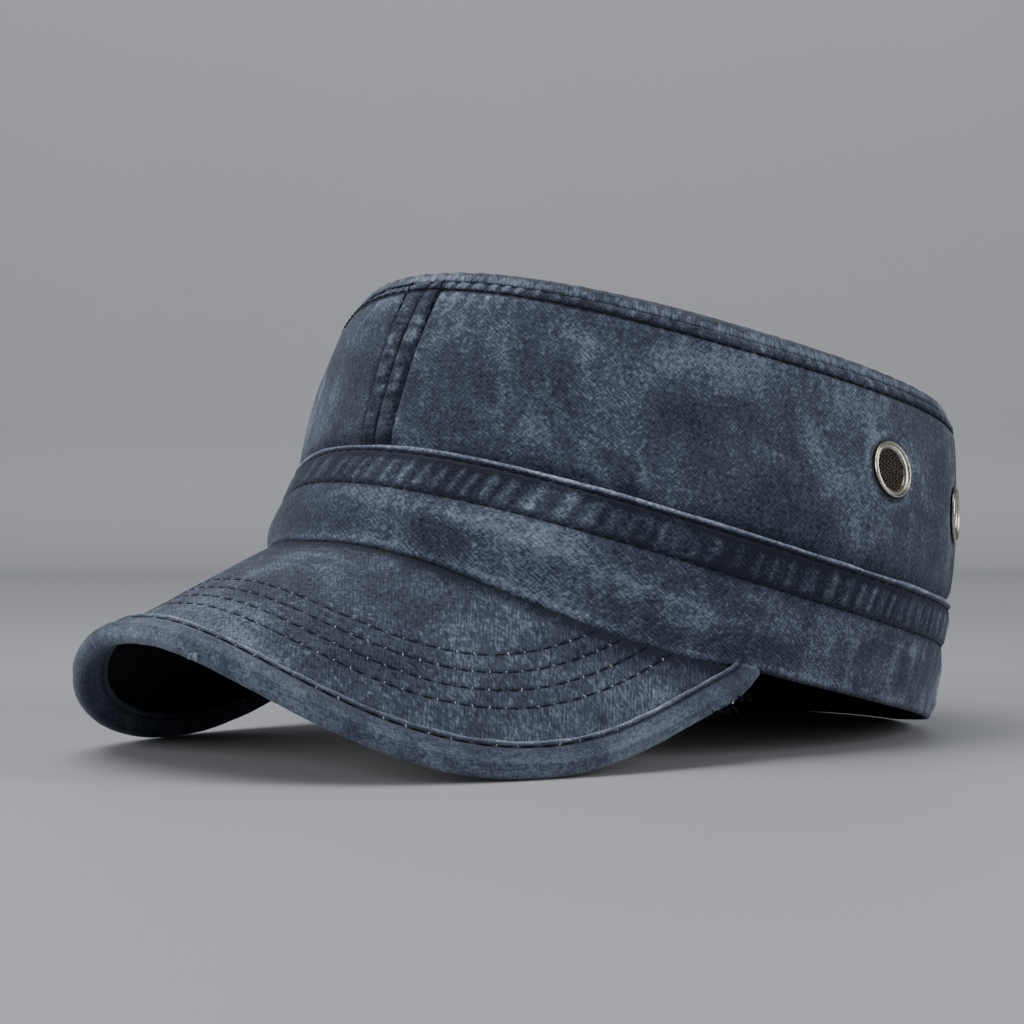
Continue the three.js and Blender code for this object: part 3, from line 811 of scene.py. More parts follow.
TWILL = twill("washed_twill", ("161a26", "363e4c", "636d7e", "a6adb8"))
BINDING = twill("binding_twill", ("1d212c", "363e4c", "5b6474", "a0a8b2"), 0.9, 0.8, 20)
THREADS = plain_cloth("dark_thread", "0b0e14", "151a24", 900)
DOTS = plain_cloth("pale_thread", "79848f", "aeb5bd", 1500)
# Near-black cloth: on the peak's underside it is painted shade on what is the same twill, and the
# sweatband inside the cap gets it too
DARK_AND_SHADED_CLOTH = plain_cloth("dark_and_shaded_cloth", "15171b", "23262c", 200)
METAL = metal("antique_nickel", "c6c0b4", "3b3730", 0.2)
WIRE = metal("mesh_wire", "5a564e", "211f1c", 0.4)


def finish_piece(obj, material, slot, *replaced):
    """Give a piece its material and body, and hide the solids it replaces; the slot is not used."""
    obj.data.materials.append(material)
    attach(obj, "root")
    if replaced:
        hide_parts(*replaced)
    return obj


# The wall

def tuck_at(height):
    """How far the wall's foot lies in behind the band."""
    share = np.clip(1 - height / TUCK_HEIGHT, 0, 1)
    return (BAND_INNER - GAP) * share


WALL_TOP = WALL_HEIGHT - CLOTH - GAP / 2
# How wide the groove of a stitch row is, and the most wear with painted highlight, and the most painted
# shade, on the cloth
ROW_WIDTH = 0.5
MOST_WEAR_AND_HIGHLIGHT = 1.6
MOST_SHADE = 1.2
# Noises round the wall, as wave, height of wave and seed, and before them a depth
WALL_SOFT = ((0.34, 26, 17, 11), (0.16, 9.5, 8, 12))
WALL_PATCHES = (37, 29, 36)
WALL_CREASES = (14, 21, 35)
WALL_FADED = (14, 11, 31)
# Pitches and seeds of the wall's puckers
WALL_PUCKERS = (5.7, 21)
WALL_FINE_PUCKERS = (3.1, 23)
# Seeds of the two seams, and the pitch of their puffs up the wall
FRONT_SEED = 41
REAR_SEED = 47
SEAM_PUFF_PITCH = 4.9
# Where the wall is crushed, as arcs from the front, and how its creases lean
CRUSHED_FRONT = 40
CRUSHED_REAR = (120, 175)
CREASE_LEAN = 0.35


def seam_relief(distance, height, seed):
    """A seam of the wall, at a distance to either side of it: a puffy strip between two
    stitch rows. Gives relief, wear with painted highlight on the puffs, and painted shade."""
    side = np.sign(distance)
    distance = np.abs(distance)
    strip = 1 - step(distance, SEAM_ROW - 0.6, SEAM_ROW + 0.1)
    outside = step(distance, SEAM_ROW + 0.2, SEAM_ROW + 1.2) * fade(distance - SEAM_ROW, 3)
    row = bell(distance - SEAM_ROW, ROW_WIDTH)
    middle = bell(distance, 0.45)
    beat = height / SEAM_PUFF_PITCH + 0.3 * side + 0.9 * noise(height / 6, side, seed)
    puff = np.sqrt(beats(beat)) * bell(distance - 0.55 * SEAM_ROW, 0.48 * SEAM_ROW)
    patch = 0.7 + 0.7 * noise(height / 3.3, distance / 3 + 9 * side, seed + 3)
    worn_and_lit = step(WALL_HEIGHT - height, 6, 15) * step(height, 2.5, 6) * patch
    ripple = np.maximum(0, noise(height / 2.7 + 7, distance / 6, seed + 1)) * outside
    relief = 0.3 * strip + 0.5 * puff * strip - 0.45 * row - 0.3 * middle + 0.3 * ripple
    wear_and_highlight = 1.7 * puff * worn_and_lit * strip + 0.8 * ripple
    return relief, wear_and_highlight, 0.95 * row + 0.3 * middle + 0.55 * strip


def wall_relief(arc, height):
    """How far the wall's skin stands out from its smooth shape, how worn it is there with
    painted highlight, and how much painted shade it has."""
    down = WALL_HEIGHT - height
    around = np.abs(arc)
    soft = layered(arc, height, WALL_SOFT)
    # Creases that run up the wall, most of them at the front and towards the rear
    crushed = 0.25 + 0.75 * np.maximum(bell(arc, CRUSHED_FRONT), step(around, *CRUSHED_REAR))
    patches = step(ring_noise(arc, height, *WALL_PATCHES), -0.3, 0.5)
    creases = crushed * patches * wrinkles(arc + CREASE_LEAN * height, height, *WALL_CREASES)
    # Puckers that the topstitching draws in below the crease
    puckers = pleats(arc, *WALL_PUCKERS)
    fine = pleats(arc, *WALL_FINE_PUCKERS)
    above = step(down, 0.4, 1.4) * (1 - step(down, WALL_ROW - 1, WALL_ROW - 0.2))
    below = step(down, WALL_ROW + 0.2, WALL_ROW + 1.4) * fade(down - WALL_ROW, 4.5)
    uneven = (0.7 + 0.5 * ring_wave(arc, 45, 25)) * (1 + 0.5 * step(around, 70, 150))
    gather = uneven * (0.75 * puckers * (above + 0.6 * below) + 0.45 * fine * above)
    row = bell(down - WALL_ROW, ROW_WIDTH)
    relief = soft * step(down, 1, 8) + 0.85 * gather + 0.3 * creases - 0.45 * row
    # Puckers, creases and the crease's edge are paler: partly wear, partly painted highlight
    wear_and_highlight = 1.9 * gather + 0.75 * bell(down - 0.8, 0.8) * uneven + 0.4 * creases
    wear_and_highlight = wear_and_highlight + 0.25 * step(ring_noise(arc, height, *WALL_FADED), 0.1, 0.9)
    # Painted shade in the row, on the puckered strip above it, and just above the band
    shade = row + 0.62 * above + 0.45 * fade(height, 2.6)
    for distance, seed in ((arc - SEAM_ARC, FRONT_SEED), (RING_LENGTH / 2 - around, REAR_SEED)):
        seam = seam_relief(distance, height, seed)
        relief, wear_and_highlight, shade = relief + seam[0], wear_and_highlight + seam[1], shade + seam[2]
    for _, angle_degrees, height_share in EYELETS:
        spot = float(arc_of(math.radians(angle_degrees)))
        away = np.hypot(around - spot, height - height_share * WALL_HEIGHT) - EYELET_OUTER
        relief = relief * step(away, 0, 4)
        # A paler ring round each eyelet, partly wear and partly painted highlight, and painted shade
        # under its rim
        wear_and_highlight = wear_and_highlight + 0.35 * bell(away - 1.2, 1.1)
        shade = shade + 0.5 * (1 - step(away, -0.4, 0.8))
    return relief, np.clip(wear_and_highlight, 0, MOST_WEAR_AND_HIGHLIGHT), np.clip(shade, 0, MOST_SHADE)


SMALL_TURN = 0.01
# Half the slit between the wall's two halves, where its rows of points change their spacing,
# and the numbers of its columns and rows
SEAM_SLIT = 0.06
WALL_MIDDLE = 36
WALL_COLUMNS = 390
WALL_ROWS = (6, 46, 24)
# How the front of the wall sags under the crease
SAG = 1.6
SAG_FROM = 0.55
CREASE_ROLL = 1.5


def eyelet_frame(angle_degrees, height_share, side):
    """The middle of an eyelet on one side, and its directions right, up and out."""
    angle = math.radians(angle_degrees)
    height = height_share * WALL_HEIGHT
    centre = crown_point(angle, height, 0)
    along = crown_point(angle + SMALL_TURN, height, 0) - centre
    upwards = crown_point(angle, height + SMALL_TURN * RIDGE_SIDE, 0) - centre
    mirror = np.array([side, 1, 1])
    facing = unit(np.cross(along, upwards)) * mirror
    right = unit(np.cross([0, 0, 1], facing))
    return centre * mirror, right, np.cross(facing, right), facing


def wall_half(name, side):
    ends = SEAM_ARC + side * SEAM_SLIT, side * (RING_LENGTH / 2 - SEAM_SLIT)
    levels = (-SEAM_ALLOWANCE, 0, WALL_MIDDLE, WALL_TOP)
    heights = [np.linspace(low, high, count)[:-1]
               for low, high, count in zip(levels, levels[1:], WALL_ROWS)]
    heights = np.concatenate(heights + [[WALL_TOP]])
    arc, height = np.meshgrid(np.linspace(*ends, WALL_COLUMNS), heights)
    angle = angle_of(arc)
    relief, wear_and_highlight, shade = wall_relief(arc, height)
    relief = relief * step(height, -1, 2)
    # The cloth rolls in at the crease
    roll = np.clip((height - (WALL_TOP - CREASE_ROLL)) / CREASE_ROLL, 0, 1)
    under = (height - SAG_FROM * WALL_TOP) / ((1 - SAG_FROM) * WALL_TOP)
    sag = (0.25 + 0.75 * bell(angle, 0.6)) * np.clip(under, 0, 1) ** 2
    rolled = 1.1 * (1 - np.sqrt(np.maximum(0, 1 - roll ** 2)))
    out = tuck_at(height) + relief - rolled - SAG * sag
    outer = crown_point(angle, height, out)
    inner = crown_point(angle, height, np.minimum(out, tuck_at(height)) - CLOTH)
    uv = np.stack([arc, height], -1)
    holes = np.zeros((arc.shape[0] - 1, arc.shape[1] - 1), bool)
    middles = (outer[1:, 1:] + outer[:-1, :-1]) / 2
    for _, angle_degrees, height_share in EYELETS:
        centre = eyelet_frame(angle_degrees, height_share, side)[0]
        holes |= np.linalg.norm(middles - centre, axis=-1) < EYELET_BARREL + GAP / 2
    fields = {"wear_and_highlight": wear_and_highlight, "shade": shade}
    return shell(name, stand(outer), stand(inner), uv, fields, holes=holes)


wall_left = wall_half("wall_left", 1)
finish_piece(wall_left, TWILL, "twill", "crown_left")
wall_right = wall_half("wall_right", -1)
finish_piece(wall_right, TWILL, "twill", "crown_right")

# The top panel

PANEL_RINGS = 54
PANEL_STEPS = 540
# The rings lie closer together towards the rim, and leave a pinhole in the middle
RING_CROWDING = 1.7
PINHOLE = 0.004
PANEL_PUCKERS = (5.3, 61)


def panel_skin(arc, share, lower=0.0):
    """A point of the top panel, from its middle out to the crease."""
    angle = angle_of(arc)
    front = float(outline_at(WALL_HEIGHT)[0])
    edge = crown_point(angle, WALL_HEIGHT, -fold_at(angle, WALL_HEIGHT))
    x, y = edge[..., 0] * share, edge[..., 1] * share
    rise = TOP_DOME * (1 - share ** 2) + TOP_PUFF * (1 - share ** TOP_PUFF_SHARPNESS)
    inset = (1 - share) * np.hypot(edge[..., 0], edge[..., 1])
    near = step(inset, 0.2, 1.4) * (1 - step(inset, PANEL_ROW - 0.8, PANEL_ROW))
    past = step(inset, PANEL_ROW, PANEL_ROW + 1) * fade(inset - PANEL_ROW, 5)
    row = bell(inset - PANEL_ROW, 0.55)
    soft = 0.5 * noise(x / 31 + 9, y / 27, 62) * step(inset, 3, 14)
    gather = pleats(arc, *PANEL_PUCKERS) * (0.55 * near + 0.4 * past)
    # Puckers and the rolled rim are paler, partly wear and partly painted highlight; painted shade in
    # the row and on the puckered strip outside it
    wear_and_highlight = 1.8 * gather + 0.45 * bell(inset - 0.5, 0.9)
    shade = row + 0.75 * near
    z = WALL_HEIGHT + rise + soft + gather - 0.4 * row - drop_at(x, -y / front, WALL_HEIGHT)
    # The rim rolls down to the crease
    roll = np.clip(1 - inset / 1.1, 0, 1)
    z = z - roll ** 2 - lower * (1 - 0.4 * roll)
    return np.stack([x, y, z], -1), wear_and_highlight, shade


def top_panel():
    shares = 1 - (1 - np.linspace(0, 1, PANEL_RINGS)) ** RING_CROWDING
    arc, share = np.meshgrid(ring_arcs(PANEL_STEPS), lerp(PINHOLE, 1, shares))
    outer, wear_and_highlight, shade = panel_skin(arc, share)
    inner = panel_skin(arc, share, CLOTH)[0]
    uv = joined_uv(outer[..., :2], 0)
    return shell("top_cloth", stand(outer), stand(inner), uv, {"wear_and_highlight": wear_and_highlight, "shade": shade}, True)


top_cloth = finish_piece(top_panel(), TWILL, "twill", "top_panel")


# The band

# Where the rear of the band begins, how its folds lean, and its noises and puckers
BAND_REAR = (110, 200)
BAND_SLANT = 0.08
BAND_STREAKS = (5.2, 71)
BAND_NARROW = (3.0, 73)
BAND_CREASES = (9.5, 87)
BAND_FOLDS = (46, 6.2, 82)
BAND_WRINKLES = (52, 9, 85)
BAND_PATCHES = (33, 11, 86)
REAR_WRINKLES = (12, 26, 88)
EDGE_LUMPS = ((0.17, 2.3, 1, 91), (0.14, 7, 1, 92))
EDGE_WAVES = ((0.16, 2.6, 1, 95), (0.14, 8, 1, 96))
MOST_BAND_SHADE = 1.25
BAND_COLUMNS = 740
# Depths below the ridge where the spacing of the rows changes, and the numbers of rows
FOLD_END = 3
STRIP_END = 12.6
BAND_ROWS = (9, 20, 34)
FOOT_GAP = 0.05


def band_relief(arc, down, tall):
    """The band's skin at a depth below the ridge, on a band of a height."""
    left = tall - down
    rearward = step(np.abs(arc), *BAND_REAR)
    past_ridge = down - RIDGE_ROW
    past_row = down - BAND_ROW
    # Puckers between the two stitch rows and below them
    streaks = pleats(arc, *BAND_STREAKS) * (0.95 + 0.4 * ring_wave(arc, 29, 74))
    narrow = pleats(arc, *BAND_NARROW) * (0.35 + 0.65 * rearward)
    strip = step(past_ridge, 0.5, 3) * (1 - step(past_row, -2.2, -0.3))
    inside = step(past_ridge, 0, 1) * (1 - step(past_row, -0.8, 0))
    below = step(past_row, 0.2, 1.5) * fade(past_row, 3.5)
    gather = strip * (0.75 * streaks + 0.5 * narrow) + 0.35 * below * (streaks + narrow)
    groove = bell(past_ridge, ROW_WIDTH)
    second = bell(past_row, ROW_WIDTH)
    # Soft folds that lean along the band, and creases towards its rear
    low = step(past_row, 0, 5) * step(left, 0.5, 5)
    slant = down - arc * BAND_SLANT
    folds = ring_noise(arc, slant, *BAND_FOLDS)
    soft = (0.62 * folds + 0.24 * ring_noise(arc, slant, 17, 5, 83)) * low
    soft = soft + 0.14 * ring_noise(arc, down, 9, 7, 84) * step(left, 0.5, 4)
    patches = step(ring_noise(arc, slant, *BAND_PATCHES), -0.3, 0.5)
    pale = wrinkles(arc, slant, *BAND_WRINKLES) * patches * low
    creases = 0.6 * pleats(arc, *BAND_CREASES) + 0.8 * wrinkles(arc, down, *REAR_WRINKLES)
    creases = creases * rearward * step(left, 0, 4) * step(past_row, 0, 4)
    # The folded upper edge, with a bead for each stitch
    lumps = layered(arc, 0, EDGE_LUMPS)
    edge = bell(down - 0.35, 0.45)
    beads = beats(arc / (2 * STITCH_PITCH) + ring_wave(arc, 12, 93) / math.pi)
    relief = 0.55 * gather + soft + 0.5 * creases + 0.15 * pale + (0.3 + lumps) * edge
    relief = relief - (0.5 + 0.15 * beads) * groove - 0.42 * second
    # Puckers, the ridge's edge and the crests of folds are paler: partly wear, partly painted highlight
    wear_and_highlight = 1.35 * gather + 1.75 * edge * (0.9 + 2.4 * lumps) + 0.5 * pale
    wear_and_highlight = wear_and_highlight + 0.3 * np.maximum(0, folds) ** 1.5 * low + 0.6 * creases + 0.3 * bell(left - 1.9, 0.8)
    # Painted shade in the grooves below the ridge, between the rows and along the foot
    shade = 1.1 * groove + 0.5 * (0.6 + 0.6 * beads) * bell(past_ridge - 1, 1.1)
    shade = shade + second + 0.62 * inside + 0.8 * bell(left, 0.7)
    return relief, np.clip(wear_and_highlight, 0, MOST_WEAR_AND_HIGHLIGHT), np.clip(shade, 0, MOST_BAND_SHADE)


def band():
    arcs = ring_arcs(BAND_COLUMNS)
    angles = angle_of(arcs)
    foot = foot_height(angles, BAND_PROUD, FOOT_GAP)
    radius = BAND_CLOTH / 2
    last = -foot - radius
    top_lift = layered(arcs, 0, EDGE_WAVES)
    rows_out, wear_and_highlight_rows, shade_rows, uv_rows = [], [], [], []

    def row(down, out=0.0, shift=0.0):
        down = np.broadcast_to(down, arcs.shape)
        relief, wear_and_highlight, shade = band_relief(arcs, down, -foot)
        point = crown_point(angles, -down, BAND_PROUD + relief + out)
        point[..., 2] += shift
        rows_out.append(point)
        wear_and_highlight_rows.append(wear_and_highlight)
        shade_rows.append(shade)
        uv_rows.append(np.stack([arcs, -down], -1))

    top_turns = np.radians([90, 65, 40, 18])
    for turn in top_turns:
        row(radius * (1 - np.sin(turn)), -radius * (1 - np.cos(turn)), top_lift)
    for down in np.linspace(radius, FOLD_END, BAND_ROWS[0])[:-1]:
        row(down)
    for down in np.linspace(FOLD_END, STRIP_END, BAND_ROWS[1])[:-1]:
        row(down)
    for share in np.linspace(0, 1, BAND_ROWS[2])[1:]:
        row(lerp(STRIP_END, last, share))
    for turn in np.radians([30, 60, 90]):
        row(last + radius * np.sin(turn), -radius * (1 - np.cos(turn)))
    # The inner face has as many rows, and its upper rim follows the outer one
    inner_rows = [crown_point(angles, foot * share, BAND_INNER)
                  for share in np.linspace(0, 1, len(rows_out))]
    for index in range(len(top_turns)):
        inner_rows[index][..., 2] += top_lift * (1 - index / len(top_turns))
    fields = {"wear_and_highlight": np.stack(wear_and_highlight_rows), "shade": np.stack(shade_rows)}
    outer, inner = stand_on_floor(np.stack(rows_out)), stand_on_floor(np.stack(inner_rows))
    return shell("band_cloth", outer, inner, joined_uv(np.stack(uv_rows), RING_LENGTH), fields, True)


band_cloth = finish_piece(band(), TWILL, "twill", "band")


# The sweatband

SWEATBAND_COLUMNS = 300
SWEATBAND_ROWS = 20


def sweatband():
    arcs = ring_arcs(SWEATBAND_COLUMNS)
    angles = angle_of(arcs)
    skin = BAND_INNER - GAP - CLOTH - GAP
    lower = foot_height(angles, BAND_INNER) + SWEATBAND_LIFT
    outer, inner, wear_and_highlight, uvs = [], [], [], []
    for share in np.linspace(0, 1, SWEATBAND_ROWS):
        height = lerp(lower, -SWEATBAND_TOP, share)
        wave = np.minimum(0, 0.25 * ring_noise(arcs, height, 14, 9, 131) * (1 - share))
        outer.append(crown_point(angles, height, skin + wave))
        inner.append(crown_point(angles, height, skin - SWEATBAND_CLOTH + wave))
        wear_and_highlight.append(0.6 * bell(height - lower, 0.9))
        uvs.append(np.stack([arcs, height], -1))
    wear_and_highlight = np.stack(wear_and_highlight)
    fields = {"wear_and_highlight": wear_and_highlight, "shade": np.zeros_like(wear_and_highlight)}
    outer, inner = stand_on_floor(np.stack(outer)), stand_on_floor(np.stack(inner))
    return shell("sweatband_cloth", outer, inner, joined_uv(np.stack(uvs), RING_LENGTH), fields, True)


sweatband_cloth = finish_piece(sweatband(), DARK_AND_SHADED_CLOTH, "lining", "sweatband")


# The peak

# Points of the curves on the peak, and the longest step that moves one inwards
CURVE_POINTS = 400
OFFSET_STEP = 3
FOOT_POINTS = 801
FOOT_MARGIN = 0.002
SEAT_POINTS = 500
# Points that are measured at once, so that the tables of distances stay small
CHUNK = 6000
# Columns and rows of the two cloths of the peak, and the share of its ends that is smooth
UPPER_GRID = (380, 106)
LOWER_GRID = (120, 30)
SMOOTH_ENDS = 0.02


def resampled(path, count):
    lengths = running_length(path)
    return at_length(path, lengths, np.linspace(0, lengths[-1], count))


def edge_shares(count):
    """Places along the peak's edge, evenly spaced on the arched edge."""
    fine = np.linspace(-1, 1, FINE_POINTS)
    lengths = running_length(on_skin(peak_edge(fine), np.zeros_like(fine)))
    return np.interp(np.linspace(0, lengths[-1], count), lengths, fine)


def offset_curve(inset):
    """A curve on the peak's skin at a distance in from its edge."""
    path = on_skin(peak_edge(edge_shares(CURVE_POINTS)), np.zeros(CURVE_POINTS))
    parts = max(1, math.ceil(inset / OFFSET_STEP))
    for _ in range(parts):
        normal = peak_normal(path[:, 0], path[:, 1])
        inwards = np.cross(normal, unit(np.gradient(path, axis=0)))
        if inwards[CURVE_POINTS // 2, 1] < 0:
            inwards = -inwards
        path = path + inwards * inset / parts
        path[:, 2] = peak_top(path[:, 0], path[:, 1])
        path = resampled(path, CURVE_POINTS)
    return path


def round_front(points):
    """The angle and the reach of places, measured on the front half of the ridge."""
    x, y = points[:, 0] / RIDGE_SIDE, -points[:, 1] / RIDGE_FRONT
    return np.arctan2(x, y), np.hypot(x, y)


def under_band(path):
    """Whether each point of the peak lies under the band."""
    angles = np.linspace(-1, 1, FOOT_POINTS) * CORNER_ANGLE
    foot = crown_point(angles, lifted_foot(angles, BAND_PROUD), BAND_PROUD)
    angle, reach = round_front(path)
    return reach < np.interp(angle, *round_front(foot)) - FOOT_MARGIN


def kept(path):
    """The stretch of a curve that lies clear of the band."""
    where = np.nonzero(~under_band(path))[0]
    return path[where.min():where.max() + 1]


ROW_CURVES = [offset_curve(inset) for inset in PEAK_STITCH_ROWS]
# Where the band's outer face meets the peak
SEAT_ANGLES = np.linspace(-CORNER_ANGLE, CORNER_ANGLE, SEAT_POINTS)
SEAT_CURVE = crown_point(SEAT_ANGLES, lifted_foot(SEAT_ANGLES, BAND_PROUD), BAND_PROUD)


def nearest(points, path):
    """The distance from each point to a path, and how far along the path that is."""
    lengths = running_length(path)
    flat = points.reshape(-1, 3)
    best, where = np.empty(len(flat)), np.empty(len(flat))
    for start in range(0, len(flat), CHUNK):
        part = flat[start:start + CHUNK]
        squared = ((part[:, None, :2] - path[None, :, :2]) ** 2).sum(2)
        squared += (part[:, None, 2] - path[None, :, 2]) ** 2
        best[start:start + CHUNK] = np.sqrt(squared.min(1))
        where[start:start + CHUNK] = lengths[squared.argmin(1)]
    return best.reshape(points.shape[:2]), where.reshape(points.shape[:2])


def peak_relief(place):
    """How far the peak's skin stands out, how worn it is with painted highlight, and how much painted
    shade it has.
    """
    skin = on_skin(place, np.zeros(place.shape[:2]))
    x, y = place[..., 0], place[..., 1]
    relief = 0.3 * noise(x / 21 + 3, y / 17 + 5, 141) + 0.1 * noise(x / 7 + 2, y / 7, 142)
    wear_and_highlight = 0.12 * step(noise(x / 15 + 8, y / 10 + 1, 143), 0.0, 0.9)
    # Painted shade along the band's foot, measured on the plan
    level = np.array([1, 1, 0])
    seam = nearest(skin * level, SEAT_CURVE * level)[0]
    shade = 0.95 * bell(seam, 1.3) + 0.3 * bell(seam, 4)
    for index, curve in enumerate(ROW_CURVES):
        distance, along = nearest(skin, curve)
        groove = bell(distance, ROW_WIDTH)
        pucker = bell(distance, 1.5) * beats(along / STITCH_PITCH + index / (2 * math.pi))
        relief = relief - 0.26 * groove + 0.07 * pucker
        shade = shade + 0.62 * groove
        wear_and_highlight = wear_and_highlight + 0.1 * pucker
    return relief, wear_and_highlight, shade


def steepness(edge, inwards):
    """How much longer the peak's skin is than its plan, from its edge inwards."""
    probe = edge + inwards * PROBE
    fall = (peak_z(probe[:, 0], probe[:, 1]) - peak_z(edge[:, 0], edge[:, 1])) / PROBE
    return np.hypot(1, fall)


def peak_layer(name, depth, grid, detailed):
    """One cloth of the peak, from just inside its edge to under the band."""
    columns, rows = grid
    shares = edge_shares(columns)
    edge, root = peak_edge(shares), peak_root(shares)
    width = np.linalg.norm(root - edge, axis=1)
    inwards = (root - edge) / width[:, None]
    inset = np.minimum(PEAK_EDGE_INSET / steepness(edge, inwards), width)
    start = edge + inwards * inset[:, None]
    place = start[None] + (root - start)[None] * np.linspace(0, 1, rows)[:, None, None]
    if detailed:
        relief, wear_and_highlight, shade = peak_relief(place)
    else:
        relief = 0.12 * noise(place[..., 0] / 13, place[..., 1] / 13, 151)
        wear_and_highlight = shade = np.zeros_like(relief)
    relief = relief * np.minimum(1, (1 - np.abs(shares)) / SMOOTH_ENDS)
    thin = 1 - CORNER_THINNING * by_corner(place[..., 0], place[..., 1])
    outer = on_skin(place, relief - depth * thin)
    inner = on_skin(place, -(depth + PEAK_CLOTH) * thin)
    return shell(name, stand(outer), stand(inner), place, {"wear_and_highlight": wear_and_highlight, "shade": shade})


upper = peak_layer("peak_cloth", 0, UPPER_GRID, True)
# The under cloth gets the near-black cloth, as painted shade
lower = peak_layer("peak_under_cloth", PEAK_CLOTH + GAP, LOWER_GRID, False)
finish_piece(upper, TWILL, "twill", "peak_upper")
finish_piece(lower, DARK_AND_SHADED_CLOTH, "lining", "peak_lower")


# The binding round the peak's edge

STACK_HEIGHT = 2 * PEAK_CLOTH + 2 * BINDING_CLOTH + 3 * GAP
STACK_TOP = GAP + BINDING_CLOTH
EDGE_RADIUS = STACK_HEIGHT / 2
BINDING_COLUMNS = 560
ROOM_STEPS = 73
# Lines of points across the upper leaf, the rim and the lower leaf
UPPER_LINES = 20
RIM_LINES = 16
LOWER_LINES = 10
# How far short of its width a leaf turns, how deep the strip is folded and its inner bevel
LEAF_END = 0.6
INNER_REACH = 4
BEVEL = 0.6
RIM_PUFF = 0.34
# Places round the strip's cloth: where the upper leaf ends, and the lower leaf's two ends
UPPER_LEAF = 9
LOWER_LEAF = 17
LOWER_END = 24


